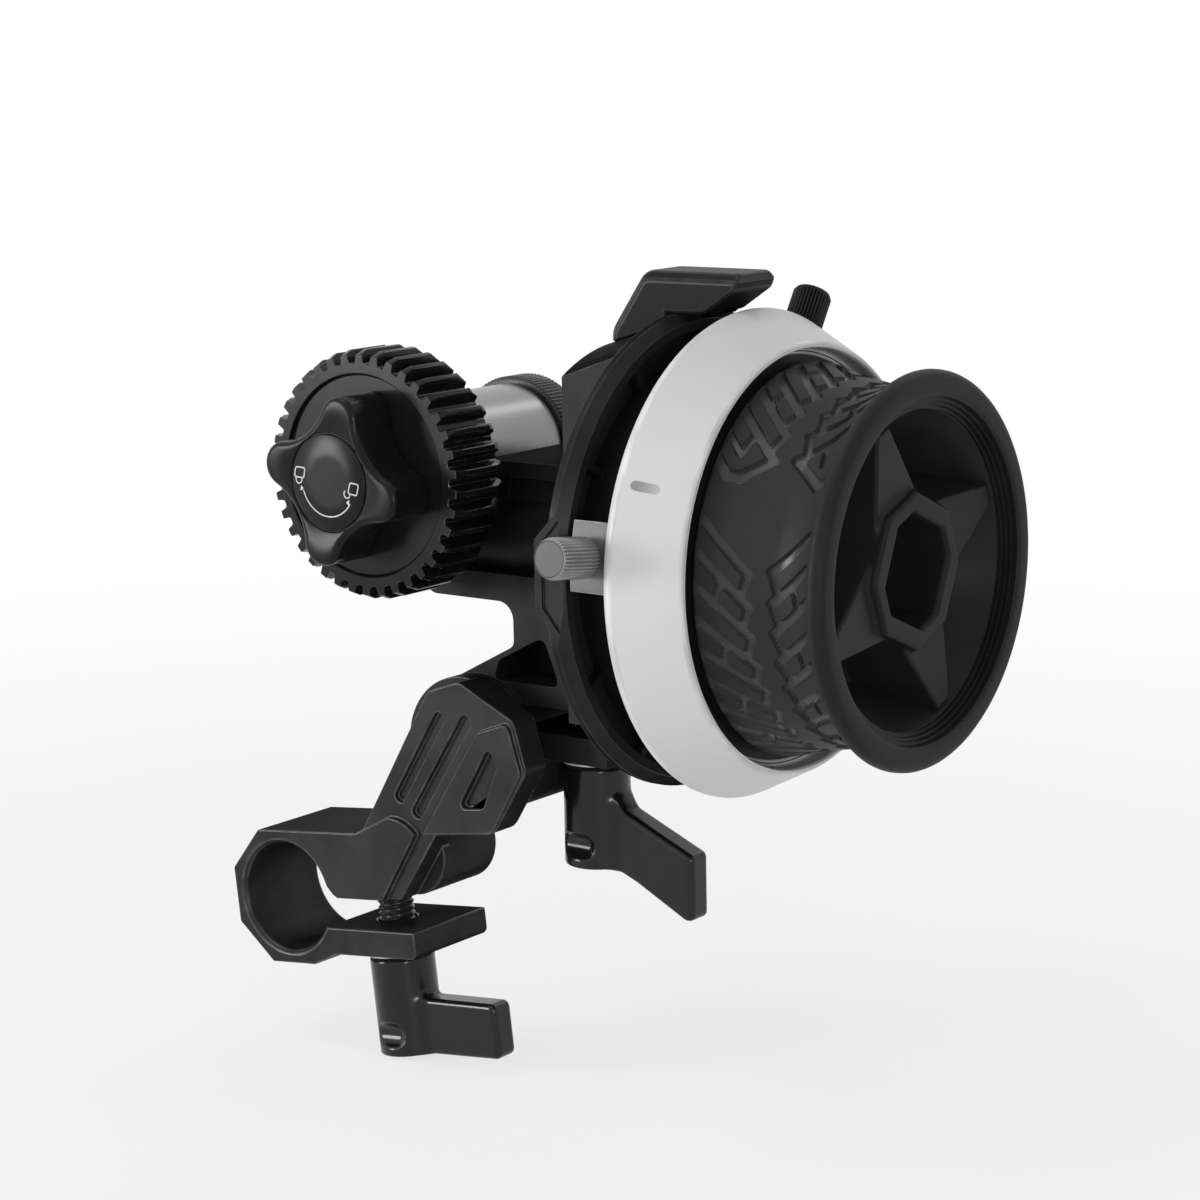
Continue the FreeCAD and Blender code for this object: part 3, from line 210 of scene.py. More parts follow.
floor_glow = floor_start.add("Emission", {}, {"Color": (1, 1, 1, 1), "Strength": 1.0})
floor_share = seen(floor_start) * (0.72 + 0.28 * floor_reach.ease(60, 420))
floor_mix = floor_start.add("MixShader", {}, {0: floor_share, 1: floor_board, 2: floor_glow})
floor_start.add("OutputMaterial", {}, {"Surface": floor_mix})
floor_mesh.materials.append(floor_paint)

sky = bpy.data.worlds.new("studio_sky")
bpy.context.scene.world = sky
sky.use_nodes = True
sky.node_tree.nodes.clear()
sky_start = Shade(sky.node_tree)
sky_fill = sky_start.add("Background", {}, {"Color": (1, 1, 1, 1), "Strength": 0.42})
sky_white = sky_start.add("Background", {}, {"Color": (1, 1, 1, 1), "Strength": 1.0})
sky_mix = sky_start.add("MixShader", {}, {0: seen(sky_start), 1: sky_fill, 2: sky_white})
sky_start.add("OutputWorld", {}, {"Surface": sky_mix})


def soft_box(name, place, aim, width, height, watts):
    """A rectangular lamp that faces a point."""
    light = bpy.data.lights.new(name, "AREA")
    light.shape = "RECTANGLE"
    light.size = width
    light.size_y = height
    light.energy = watts
    lamp = bpy.data.objects.new(name, light)
    bpy.context.scene.collection.objects.link(lamp)
    lamp.location = place
    lamp.rotation_euler = (Vector(aim) - Vector(place)).to_track_quat("-Z", "Y").to_euler()


soft_box("lamp_left", (-0.62, -0.74, 0.16), (0.03, 0, 0.03), width=0.26, height=0.34, watts=5.2)
soft_box("lamp_front", (0.76, -0.60, 0.12), (0.05, 0, 0.02), width=0.08, height=0.26, watts=1.9)
soft_box("lamp_top", (-0.20, -0.30, 0.90), (0.04, 0, 0.03), width=0.40, height=0.30, watts=1.5)
soft_box("lamp_back", (0.08, 0.80, 0.68), (0.03, 0, 0.04), width=0.16, height=0.40, watts=0.42)


# Rod clamp: milled from one block of aluminium, bead-blasted and anodised black. Its edges are
# broken by a small round, where handling has polished the coating thin, and that round is painted
# a lighter tone as a highlight.
def finish(name, fixed, varied):
    """A material: fixed values go straight onto its sockets, varied ones come from nodes."""
    material = bpy.data.materials.new(name)
    material.use_nodes = True
    tree = material.node_tree
    shader = tree.nodes["Principled BSDF"]
    for socket, given in fixed.items():
        shader.inputs[socket].default_value = given
    for socket, shade in varied(Shade(tree)).items():
        tree.links.new(shade.socket, shader.inputs[socket])
    return material


def blasted(name, tone, rough, shine=0.3, grain=7.0, metal=0.0, rim=1.0):
    """A blasted or moulded surface: cloudy tone, fine grain, and a shine that varies a little.
    Rim is the share of the glancing shine that the coating lets through."""
    def varied(start):
        spot = start.place()
        cloud = spot.noise(0.13, 3.0)
        speck = spot.noise(grain, 2.0)
        return {
            "Base Color": cloud.ease(0.3, 0.7).between(grey(tone * 0.84), grey(tone * 1.16)),
            "Roughness": rough + 0.10 * (cloud - 0.5) + 0.16 * (speck - 0.5),
            "Normal": speck.bump(0.10, 0.00002),
        }
    fixed = {"Specular IOR Level": shine, "Metallic": metal, "Specular Tint": grey(rim)}
    return finish(name, fixed, varied)


def worn_and_highlit_edge(name, tone, rough, shine=0.5):
    """A broken edge: patches where handling polished the coating thin, on a tone that callers set
    lighter than the face as a painted highlight.
    """
    def varied(start):
        spot = start.place()
        patch = spot.noise(0.5, 3.0)
        return {
            "Base Color": patch.ease(0.35, 0.75).between(grey(tone * 0.6), grey(tone * 1.6)),
            "Roughness": rough + 0.2 * (patch - 0.5),
            "Normal": spot.noise(9.0).bump(0.08, 0.00002),
        }
    return finish(name, {"Specular IOR Level": shine}, varied)


def eased(material, edge, width, *names, steps=2, sharp=32, join=0.002):
    """Finish CAD pieces, with their edges broken by a small round that has its own finish, often a
    lighter tone that paints a highlight along the edge. Width and join, within which stray corners
    are merged, are in millimetres."""
    for name in names:
        piece = parts[name]
        piece.data.materials.clear()
        piece.data.materials.append(material)
        piece.data.materials.append(edge)
        weld = piece.modifiers.new("weld", "WELD")
        weld.merge_threshold = join / 1000
        flatten = piece.modifiers.new("flatten", "DECIMATE")
        flatten.decimate_type = "DISSOLVE"
        flatten.angle_limit = math.radians(0.6)
        bevel = piece.modifiers.new("bevel", "BEVEL")
        bevel.width = width / 1000
        bevel.segments = steps
        bevel.limit_method = "ANGLE"
        bevel.angle_limit = math.radians(sharp)
        bevel.use_clamp_overlap = False
        bevel.material = 1
        bevel.harden_normals = False
        normals = piece.modifiers.new("normals", "WEIGHTED_NORMAL")
        normals.weight = 100
        normals.keep_sharp = False
        piece.data.polygons.foreach_set("use_smooth", [True] * len(piece.data.polygons))


# The edge tone is lighter than the anodised face: a painted highlight along the broken edges.
anodised = blasted("anodised_black", 0.036, 0.40, 0.0, metal=0.5, rim=0.3)
anodised_edge = worn_and_highlit_edge("anodised_edge", 0.050, 0.30, 0.3)
eased(anodised, anodised_edge, 0.20, "rod_clamp")


# Clamp and pivot levers: cast handles, painted gloss black, that lift off a spline to be reset.
# Each hangs on the splined end of a blackened steel stud with a rolled thread, under a turned
# steel washer, and a coil spring and a screw hold it up.
def glossy(name, tone, rough, shine):
    """Stoved gloss paint with a slight ripple and a few dull patches."""
    def varied(start):
        spot = start.place()
        ripple = spot.noise(0.6, 2.0)
        speck = spot.noise(5.0, 3.0)
        return {
            "Base Color": ripple.between(grey(tone * 0.8), grey(tone * 1.25)),
            "Roughness": rough + 0.12 * (speck - 0.5) + 0.06 * (ripple - 0.5),
            "Normal": (ripple + 0.15 * speck).bump(0.12, 0.00005),
        }
    return finish(name, {"Specular IOR Level": shine}, varied)


def bare(name, tone, rough, grain=(1.0, 1.0, 1.0), metal=1.0, marked=1.0):
    """Bare metal with fine tool marks drawn out along one direction."""
    def varied(start):
        spot = start.place()
        marks = spot.stretched(*grain).noise(3.0, 3.0)
        cloud = spot.noise(0.25, 2.0)
        change = 0.15 * marked
        return {
            "Base Color": cloud.between(grey(tone * (1 - change)), grey(tone * (1 + change))),
            "Roughness": rough + marked * (0.18 * (marks - 0.5) + 0.08 * (cloud - 0.5)),
            "Normal": marks.bump(0.12 * marked, 0.00002),
        }
    return finish(name, {"Metallic": metal}, varied)


lever_paint = glossy("lever_paint", 0.007, 0.20, 0.34)
bright_steel = bare("bright_steel", 0.75, 0.34, metal=0.5)
bright_edge = bare("bright_edge", 0.68, 0.20)
black_steel = bare("black_steel", 0.06, 0.34, metal=0.6)
spring_wire = bare("spring_wire", 0.50, 0.22, grain=(6.0, 6.0, 1.0))
eased(black_steel, anodised_edge, 0.10, "clamp_lever_screw", "pivot_lever_screw")


def added(name, points, faces, body, slot, material, sharp=35):
    """A new piece from points in millimetres, that rides on a body."""
    mesh = bpy.data.meshes.new(name)
    mesh.from_pydata([Vector(point) / 1000 for point in points], [], faces)
    mesh.materials.append(material)
    mesh.polygons.foreach_set("use_smooth", [True] * len(mesh.polygons))
    mesh.set_sharp_from_angle(angle=math.radians(sharp))
    piece = bpy.data.objects.new(name, mesh)
    bpy.context.scene.collection.objects.link(piece)
    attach(piece, body)
    return piece


def lathe(rows, frame_of, sides, closed=False):
    """Points and faces turned about a frame's Z. Rows are (along, out) or (along, out, cut),
    where cut(angle) is taken off the radius."""
    points, rings, faces = [], [], []
    for along, out, *cut in rows:
        ring = []
        for side in range(sides if out else 1):
            angle = math.tau * side / sides
            radius = out - (cut[0](angle) if cut else 0)
            ring.append(len(points))
            spot = Vector((radius * math.cos(angle), radius * math.sin(angle), along))
            points.append(frame_of @ spot)
        rings.append(ring)
    pairs = list(zip(rings, rings[1:])) + ([(rings[-1], rings[0])] if closed else [])
    for low, high in pairs:
        for side in range(sides):
            after = (side + 1) % sides
            corners = [low[side % len(low)], low[after % len(low)],
                       high[after % len(high)], high[side % len(high)]]
            faces.append(list(dict.fromkeys(corners)))
    return points, faces


def thread_rows(low, high, radius, pitch, depth):
    """Rows of a rolled thread, whose crest winds round once in each pitch."""
    def cut_at(along):
        def cut(angle):
            share = (along / pitch - angle / math.tau) % 1
            return depth * min(1.0, 2.4 * abs(share - 0.5))
        return cut
    count = int((high - low) / pitch * 8)
    places = [low + (high - low) * i / count for i in range(count + 1)]
    return [(along, radius, cut_at(along)) for along in places]


def cast(outside, low, high, step):
    """Points and faces of a smooth form, as a net over the grid cells that its surface crosses.
    outside(x, y, z) tells how far outside the form a spot is, and is below zero within it."""
    axes = [np.arange(start, end + step, step) for start, end in zip(low, high)]
    solid = outside(*np.meshgrid(*axes, indexing="ij")) < 0
    cells = [size - 1 for size in solid.shape]
    corners = sum(solid[i:i + cells[0], j:j + cells[1], k:k + cells[2]].astype(int)
                  for i in (0, 1) for j in (0, 1) for k in (0, 1))
    crossed = (corners > 0) & (corners < 8)
    number = np.cumsum(crossed).reshape(cells) - 1
    points = np.array(low) + (np.argwhere(crossed) + 0.5) * step
    probe = 0.01
    for _ in range(6):  # each round draws the points in towards the surface
        here = outside(*points.T)
        near = [outside(*(points + shift).T) for shift in np.eye(3) * probe]
        slope = np.stack([there - here for there in near], -1) / probe
        move = (here / np.maximum((slope ** 2).sum(1), 0.2))[:, None] * slope
        points -= np.clip(move, -0.5 * step, 0.5 * step)
    faces = []
    for axis in range(3):
        order = (axis, (axis + 1) % 3, (axis + 2) % 3)
        within = solid.transpose(order)
        numbers = number.transpose(order)
        i, j, k = np.argwhere(within[:-1, 1:-1, 1:-1] != within[1:, 1:-1, 1:-1]).T
        quads = np.stack([numbers[i, j, k], numbers[i, j + 1, k],
                          numbers[i, j + 1, k + 1], numbers[i, j, k + 1]], -1)
        outward = within[i, j + 1, k + 1][:, None]
        faces += [tuple(quad) for quad in np.where(outward, quads, quads[:, ::-1]).tolist()]
    return points, faces


def outline(corners, x, z):
    """How far spots lie outside a polygon in a plane."""
    nearest = np.full(x.shape, 1e9)
    inside = np.zeros(x.shape, bool)
    for (start_x, start_z), (end_x, end_z) in zip(corners, corners[1:] + corners[:1]):
        run_x = end_x - start_x
        run_z = end_z - start_z
        from_x = x - start_x
        from_z = z - start_z
        share = np.clip((from_x * run_x + from_z * run_z) / (run_x ** 2 + run_z ** 2), 0, 1)
        nearest = np.minimum(nearest, np.hypot(from_x - share * run_x, from_z - share * run_z))
        level = (start_z > z) != (end_z > z)
        inside ^= level & (from_x < from_z / (run_z or 1) * run_x)
    return np.where(inside, -nearest, nearest)


def rounded_meet(first, second, radius):
    """The space inside two forms, with the edge between them rounded."""
    first, second = first + radius, second + radius
    return np.hypot(np.maximum(first, 0), np.maximum(second, 0)) \
        + np.minimum(np.maximum(first, second), 0) - radius


def blended(first, second, reach):
    """Two forms joined by a fillet."""
    near = np.maximum(reach - np.abs(first - second), 0) / reach
    return np.minimum(first, second) - near * near * reach / 4


HUB_RADIUS = 4.4
LEVER_HEIGHT = 13.5
BLADE_HALF = 1.85
BLADE_ROUND = 1.0
SOCKET_RADIUS = 3.3
CHAMBER_RADIUS = 3.1
TAIL_HOLE = 1.7
WEB_DOWN = 4.3
WEB_THICKNESS = 1.4


def lever_form(top, blade):
    """A lever: a hub with a thumb dimple, a spline socket above a spring chamber, and a blade at
    its side. The blade's corners are given inside the round of its edge."""
    foot = top - LEVER_HEIGHT
    middle = (top + foot) / 2
    web_low = top - WEB_DOWN
    web_high = web_low + WEB_THICKNESS
    lowest = min(foot, min(z for x, z in blade) - BLADE_ROUND)

    def outside(x, y, z):
        radius = np.hypot(x, y)
        hub = rounded_meet(radius - HUB_RADIUS, np.abs(z - middle) - LEVER_HEIGHT / 2, 0.45)
        side = rounded_meet(outline(blade, x, z) - BLADE_ROUND, np.abs(y) - BLADE_HALF, 0.7)
        body = rounded_meet(blended(hub, side, 1.3), lowest - z, 0.3)
        socket = np.maximum(radius - SOCKET_RADIUS, web_high - z)
        chamber = np.maximum(radius - CHAMBER_RADIUS, z - web_low)
        bore = np.minimum(socket, np.minimum(radius - TAIL_HOLE, chamber))
        thumb = np.sqrt(np.maximum(x - 0.8, 0) ** 2 + (y + 4.9) ** 2 + (z - foot - 3.1) ** 2)
        return np.maximum(-blended(-body, thumb - 1.75, 0.4), -bore)
    return outside


SPLINE_TEETH = 20
SPLINE_RADIUS = 3.2
TAIL_RADIUS = 1.6
WASHER_HOLE = 2.65
WASHER_RADIUS = 4.66
WASHER_THICKNESS = 1.0
SPRING_RADIUS = 2.5
SPRING_TURNS = 5
TURN_POINTS = 14


def spline(angle):
    """How deep the stud is cut between its spline teeth."""
    return 0.16 - 0.16 * math.cos(SPLINE_TEETH * angle)


CLAMP_TILT = math.radians(6.5)
CLAMP_STUD_OUT = 13.1
clamp_stud_frame = Matrix.Rotation(-CLAMP_TILT, 4, "Y") @ Matrix.Translation((CLAMP_STUD_OUT, 0, 0))
pivot_point = Vector((28.002, 0, 23.300))
pivot_stud_frame = Matrix.Translation(pivot_point + Vector((13.7, 8.0, 0)))
clamp_blade = [(0, 1.1), (0, 6.9), (15.7, 6.7), (15.7, 1.2)]
pivot_blade = [(0, 1.1), (0, 8.5), (3.9, 8.5), (5.2, 7.0), (15.3, 2.7), (15.3, -4.3), (7.8, -0.5),
               (3.8, 1.1)]
for name, stud_frame, seat, stud_top, blade, washer_body in (
    ("clamp", clamp_stud_frame, -7.6, 7.6, clamp_blade, "clamp"),
    ("pivot", pivot_stud_frame, -0.8, 8.4, pivot_blade, "head"),
):
    washer_low = seat - WASHER_THICKNESS
    points, faces = lathe(
        [(seat, WASHER_HOLE), (seat, WASHER_RADIUS - 0.16), (seat - 0.12, WASHER_RADIUS),
         (washer_low + 0.12, WASHER_RADIUS), (washer_low, WASHER_RADIUS - 0.12),
         (washer_low, WASHER_HOLE)], stud_frame, 96, closed=True)
    washer = added(name + "_washer_turned", points, faces, washer_body, "steel", bright_steel)
    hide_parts(name + "_washer")

    lever_top = washer_low - 0.3
    foot = lever_top - LEVER_HEIGHT
    form = lever_form(lever_top, [(x, z + foot) for x, z in blade])
    points, faces = cast(form, (-4.7, -4.7, foot - 5.7), (17.0, 4.7, lever_top + 0.3), 0.2)
    lever = added(name + "_lever_cast", [stud_frame @ Vector(point) for point in points], faces,
                  name + "_handle", "black_metal", lever_paint, sharp=180)
    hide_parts(name + "_lever")

    spline_top = seat - 1.6
    spline_low = spline_top - 2.0
    tail_end = spline_low - 7.9
    stud_rows = [
        (tail_end, 0), (tail_end, TAIL_RADIUS - 0.2), (tail_end + 0.2, TAIL_RADIUS),
        (spline_low, TAIL_RADIUS), (spline_low, SPLINE_RADIUS - 0.3),
        (spline_low + 0.2, SPLINE_RADIUS, spline), (spline_top - 0.2, SPLINE_RADIUS, spline),
        (spline_top, SPLINE_RADIUS - 0.3), (spline_top + 0.1, 2.5),
    ]
    stud_rows += thread_rows(spline_top + 0.5, stud_top - 0.4, radius=2.49, pitch=0.8, depth=0.34)
    stud_rows += [(stud_top, 2.05), (stud_top, 0)]
    points, faces = lathe(stud_rows, stud_frame, 80)
    stud = added(name + "_threaded_stud", points, faces, name + "_screw", "steel", black_steel)
    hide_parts(name + "_stud")

    coil = bpy.data.curves.new(name + "_coil", "CURVE")
    coil.dimensions = "3D"
    coil.bevel_depth = 0.00025
    coil.bevel_resolution = 3
    coil.resolution_u = 3
    coil.materials.append(spring_wire)
    turns = coil.splines.new("NURBS")
    steps = SPRING_TURNS * TURN_POINTS
    turns.points.add(steps)
    coil_low = tail_end + 0.35
    coil_high = spline_low - 2.15
    for step in range(steps + 1):
        angle = math.tau * step / TURN_POINTS
        share = min(max((step - TURN_POINTS / 2) / (steps - TURN_POINTS), 0), 1)
        spot = stud_frame @ Vector((SPRING_RADIUS * math.cos(angle), SPRING_RADIUS * math.sin(angle),
                                    coil_low + (coil_high - coil_low) * share))
        turns.points[step].co = (*(spot / 1000), 1)
    turns.order_u = 3
    turns.use_endpoint_u = True
    spring = bpy.data.objects.new(name + "_spring_coil", coil)
    bpy.context.scene.collection.objects.link(spring)
    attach(spring, name + "_screw")
    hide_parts(name + "_lever_spring")


# Pivot: a turned aluminium axle with a wide collar, anodised as the clamp is, and a flat black
# steel cap with a hexagon socket, which keeps the head on it.
eased(anodised, anodised_edge, 0.12, "pivot_axle")
eased(black_steel, anodised_edge, 0.14, "pivot_cap")


# Head: one machined housing, anodised black, that carries both axes. A fine lighter line is painted
# along the corners that the cutter broke, as a highlight. The pointer is moulded in black plastic and
# pressed onto the flange, and its rounded edges are painted lighter as a highlight too.
head_black = blasted("head_black", 0.028, 0.40, 0.0, metal=0.5, rim=0.25)
head_edge = worn_and_highlit_edge("head_edge", 0.030, 0.34, 0.2)
eased(head_black, head_edge, 0.05, "main_housing", join=0.05)
moulded = blasted("moulded_black", 0.008, 0.44, 0.08, 11.0)
moulded_edge = worn_and_highlit_edge("moulded_edge", 0.016, 0.38, 0.2)
eased(moulded, moulded_edge, 0.40, "index_pointer", steps=4)


# Barrel: a ground steel tube in the head, with a knurled black lock ring and a cap behind it.
# Inside, bronze bushes carry both shafts and their hobbed helical gears of blackened steel.
barrel_steel = bare("barrel_steel", 0.26, 0.28, grain=(0.3, 4.0, 0.3), metal=0.75, marked=0.3)
barrel_edge = bare("barrel_edge", 0.30, 0.22)
bronze = bare("bronze", 0.30, 0.32)
eased(barrel_steel, barrel_edge, 0.15, "output_barrel")
eased(anodised, anodised_edge, 0.12, "barrel_cap")
eased(bright_steel, bright_edge, 0.10, "output_clip")
eased(bronze, bronze, 0.08, "output_bearing_front", "output_bearing_rear",
      "input_bearing_front", "input_bearing_rear")
eased(black_steel, anodised_edge, 0.06, "input_shaft", "output_shaft", "input_gear", "output_gear")


def knurl(count, depth):
    """Straight ridges round a grip, with narrow valleys."""
    return lambda angle: depth * (0.5 - 0.5 * math.cos(count * angle)) ** 1.6


RING_RIDGES = 96
RING_NEAR = 17.5
RING_FAR = 22.4
RING_HOLE = 7.24
RING_RADIUS = 9.5
BARREL_ASIDE = -6.8
BARREL_UP = 36.65
barrel_centre = pivot_point + Vector((BARREL_ASIDE, 0, BARREL_UP))
barrel_axis = Matrix.Translation(barrel_centre) @ Matrix.Rotation(-math.pi / 2, 4, "X")
ring_ridge = knurl(RING_RIDGES, 0.22)
points, faces = lathe(
    [(RING_NEAR, RING_HOLE), (RING_NEAR, RING_RADIUS - 0.4), (RING_NEAR + 0.2, RING_RADIUS - 0.18),
     (RING_NEAR + 0.4, RING_RADIUS, ring_ridge), (RING_FAR - 0.4, RING_RADIUS, ring_ridge),
     (RING_FAR - 0.2, RING_RADIUS - 0.18), (RING_FAR, RING_RADIUS - 0.4), (RING_FAR, RING_HOLE)],
    barrel_axis, 6 * RING_RIDGES, closed=True)
ring_black = blasted("ring_black", 0.030, 0.28, 0.3, 8.0, 0.4)
lock_ring = added("lock_ring_knurled", points, faces, "barrel_lock", "black_metal", ring_black)
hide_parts("lock_ring")


# Drive gear: hobbed from black acetal, with chamfered tooth ends and a shallow recess in its
# face, to mesh with the ring on a lens. Its moulded four-lobed knob unscrews to free it.
GEAR_TEETH = 38
GEAR_MODULE = 0.8
GEAR_BACK = -3.4
GEAR_FRONT = -12.9
GEAR_BORE = 3.05
TIP_RADIUS = GEAR_MODULE * (GEAR_TEETH + 2) / 2
ROOT_RADIUS = TIP_RADIUS - 2.2 * GEAR_MODULE
RECESS_FLOOR = GEAR_FRONT + 0.6
gear_black = blasted("gear_black", 0.009, 0.18, 0.18, 9.0)
# gear_edge is much lighter than gear_black: a painted highlight on the chamfers and tooth edges.
gear_edge = worn_and_highlit_edge("gear_edge", 0.030, 0.26, 0.6)
eased(bright_steel, bright_edge, 0.08, "knob_stud")

# The flank of a tooth, as shares of the pitch and heights above the root.
flank = [(0.0, 0.0), (0.14, 0.0), (0.205, 0.14), (0.24, 0.44), (0.27, 0.81), (0.30, 1.14),
         (0.33, 1.46), (0.352, 1.66), (0.37, 1.74), (0.392, 1.76)]
tooth = flank + [(0.5, 1.76)] + [(1 - share, height) for share, height in flank[:0:-1]]
gear_outline = [((count + share) * math.tau / GEAR_TEETH, ROOT_RADIUS + height)
                for count in range(GEAR_TEETH) for share, height in tooth]

# Each row of the gear has its place on the axle, and the least and most that it reaches out.
gear_rows = [
    (GEAR_BACK, GEAR_BORE, GEAR_BORE), (GEAR_BACK, 14.0, 14.0), (GEAR_BACK, 0, 14.95),
    (GEAR_BACK - 1.8, 0, TIP_RADIUS), (GEAR_FRONT + 1.45, 0, TIP_RADIUS), (GEAR_FRONT, 0, 15.38),
    (GEAR_FRONT, 13.1, 13.1), (GEAR_FRONT + 0.06, 13.0, 13.0), (RECESS_FLOOR - 0.06, 12.8, 12.8),
    (RECESS_FLOOR, 12.7, 12.7), (RECESS_FLOOR, GEAR_BORE, GEAR_BORE),
]
barrel_x = pivot_point.x + BARREL_ASIDE
barrel_z = pivot_point.z + BARREL_UP
points = []
for along, least, most in gear_rows:
    for angle, radius in gear_outline:
        out = min(max(radius, least), most)
        points.append((barrel_x + out * math.cos(angle), along, barrel_z + out * math.sin(angle)))
faces = ring_faces(len(gear_rows), len(gear_outline), closed=True)
gear = added("drive_gear_hobbed", points, faces, "gear_drive", "lens_gear", gear_black, sharp=28)
gear.data.materials.append(gear_edge)
bevel = gear.modifiers.new("bevel", "BEVEL")
bevel.width = 0.00007
bevel.limit_method = "ANGLE"
bevel.angle_limit = math.radians(40)
bevel.material = 1
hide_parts("drive_gear")

LOBE_OUT = 8.1
LOBE_RADIUS = 2.9
VALLEY_OUT = 15.34
VALLEY_RADIUS = 8.29
FIRST_LOBE = math.radians(78)
KNOB_BACK = -12.4
KNOB_FRONT = -19.4
KNOB_ROUND = 0.8
KNOB_BORE = 1.6
lean = math.atan2(VALLEY_OUT * math.sin(math.pi / 4), VALLEY_OUT * math.cos(math.pi / 4) - LOBE_OUT)


def lobed(inset):
    """The knob's outline, drawn in by a distance: four lobes with a hollow between each two."""
    spots = []
    for quarter in range(4):
        middle = FIRST_LOBE + math.pi / 2 * quarter
        for centre, out, radius, start, end, count in (
            (middle, LOBE_OUT, LOBE_RADIUS - inset, middle - lean, middle + lean, 20),
            (middle + math.pi / 4, VALLEY_OUT, VALLEY_RADIUS + inset,
             middle + lean + math.pi, middle + 1.5 * math.pi - lean, 16),
        ):
            for step in range(count):
                angle = start + (end - start) * step / count
                spots.append((out * math.cos(centre) + radius * math.cos(angle),
                              out * math.sin(centre) + radius * math.sin(angle)))
    return spots


def knob_circle(radius, along):
    """A circle about the knob's axis, with its points in line with the outline's."""
    return [(radius * x / math.hypot(x, z), radius * z / math.hypot(x, z), along)
            for x, z in lobed(0)]


round_start = KNOB_FRONT + KNOB_ROUND
knob_sides = [(KNOB_BACK, 0.3), (KNOB_BACK - 0.1, 0.1), (KNOB_BACK - 0.3, 0.0), (round_start, 0.0)]
for angle in np.radians(range(15, 91, 15)):
    knob_sides.append((round_start - KNOB_ROUND * math.sin(angle),
                       KNOB_ROUND - KNOB_ROUND * math.cos(angle)))
face_groove = [(6.42, 0.0), (6.36, 0.04), (6.26, 0.28), (6.12, 0.28), (6.02, 0.04), (5.96, 0.0)]
knob_rings = [knob_circle(KNOB_BORE, -16.4), knob_circle(KNOB_BORE, KNOB_BACK)]
knob_rings += [[(x, z, along) for x, z in lobed(inset)] for along, inset in knob_sides]
knob_rings += [knob_circle(radius, KNOB_FRONT + deep) for radius, deep in face_groove]
knob_rings.append(knob_circle(3.0, KNOB_FRONT))
points = [(barrel_x + x, along, barrel_z + z) for ring in knob_rings for x, z, along in ring]
ring_size = len(knob_rings[0])
faces = ring_faces(len(knob_rings), ring_size)
faces.append(tuple(range(ring_size))[::-1])
faces.append(tuple(range(len(points) - ring_size, len(points))))
knob_black = blasted("knob_black", 0.009, 0.26, 0.14, 10.0)
knob = added("gear_knob_moulded", points, faces, "gear_lock", "knob", knob_black, sharp=50)
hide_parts("gear_knob")


# Knob marks: a shut and an open padlock with a double arrow between them, printed in white ink
# on the flat of the knob's face.
printed_white = finish("printed_white", {"Specular IOR Level": 0.3}, lambda start: {
    "Base Color": start.place().noise(6.0, 2.0).ease(0.25, 0.5).between(grey(0.42), grey(0.62)),
    "Roughness": 0.5 + 0.2 * (start.place().noise(9.0) - 0.5),
})
INK_THICKNESS = 0.012
LINE_WIDTH = 0.17
ARC_RADIUS = 4.36
knob_face = barrel_centre + Vector((0, KNOB_FRONT - INK_THICKNESS, 0))


def stroke(path, closed=False):
    """Points and faces of a flat line of ink along a path of (across, up) on the knob's face."""
    spots = [Vector(spot) for spot in path]
    count = len(spots)
    points, faces = [], []
    for i, spot in enumerate(spots):
        before = spots[i - 1] if closed or i else spot
        after = spots[(i + 1) % count] if closed or i < count - 1 else spot
        ahead = (after - before).normalized()
        side = Vector((-ahead.y, ahead.x)) * LINE_WIDTH / 2
        for corner in (spot - side, spot + side):
            points.append(knob_face + Vector((corner.x, 0, corner.y)))
    for i in range(count if closed else count - 1):
        here, there = 2 * i, 2 * ((i + 1) % count)
        faces.append((here, there, there + 1, here + 1))
    return points, faces


def rounded(corners, radius):
    """A closed path with its corners rounded."""
    path = []
    for i, corner in enumerate(corners):
        here = Vector(corner)
        back = (Vector(corners[i - 1]) - here).normalized()
        ahead = (Vector(corners[(i + 1) % len(corners)]) - here).normalized()
        for share in (0.0, 0.33, 0.67, 1.0):
            first = here + back * radius * (1 - share)
            second = here + ahead * radius * share
            path.append(tuple(first * (1 - share) + second * share))
    return path


shut_body = [(-5.37, 1.65), (-3.81, 1.59), (-4.06, 0.29), (-5.63, 0.4)]
shut_loop = [(-5.38, 0.30), (-5.32, -0.18), (-5.10, -0.40), (-4.85, -0.43), (-4.58, -0.33),
             (-4.40, -0.08), (-4.36, 0.26)]
open_body = [(3.67, 0.26), (5.07, 0.09), (4.72, -1.32), (3.27, -1.12)]
open_loop = [(3.60, -1.20), (3.50, -1.55), (3.28, -1.72), (3.00, -1.73), (2.74, -1.58),
             (2.62, -1.28), (2.68, -0.98), (2.85, -0.83)]
arc = [(ARC_RADIUS * math.cos(angle), ARC_RADIUS * math.sin(angle) + 0.03)
       for angle in np.radians(range(193, 326, 4))]
arrow_tips = [
    [(-4.50, -0.62), (-4.72, -1.30), (-4.06, -1.22)],
    [(3.50, -1.93), (2.92, -2.28), (3.37, -2.70)],
]
points, faces = [], []
for path, closed in (
    (rounded(shut_body, 0.3), True),
    (shut_loop, False),
    (rounded(open_body, 0.3), True),
    (open_loop, False),
    (arc, False),
):
    line_points, line_faces = stroke(path, closed)
    faces += [tuple(len(points) + i for i in face) for face in line_faces]
    points += line_points
for corners in arrow_tips:
    faces.append(tuple(len(points) + i for i in range(3)))
    points += [knob_face + Vector((across, 0, up)) for across, up in corners]
added("knob_marks", points, faces, "gear_lock", "marking_white", printed_white)


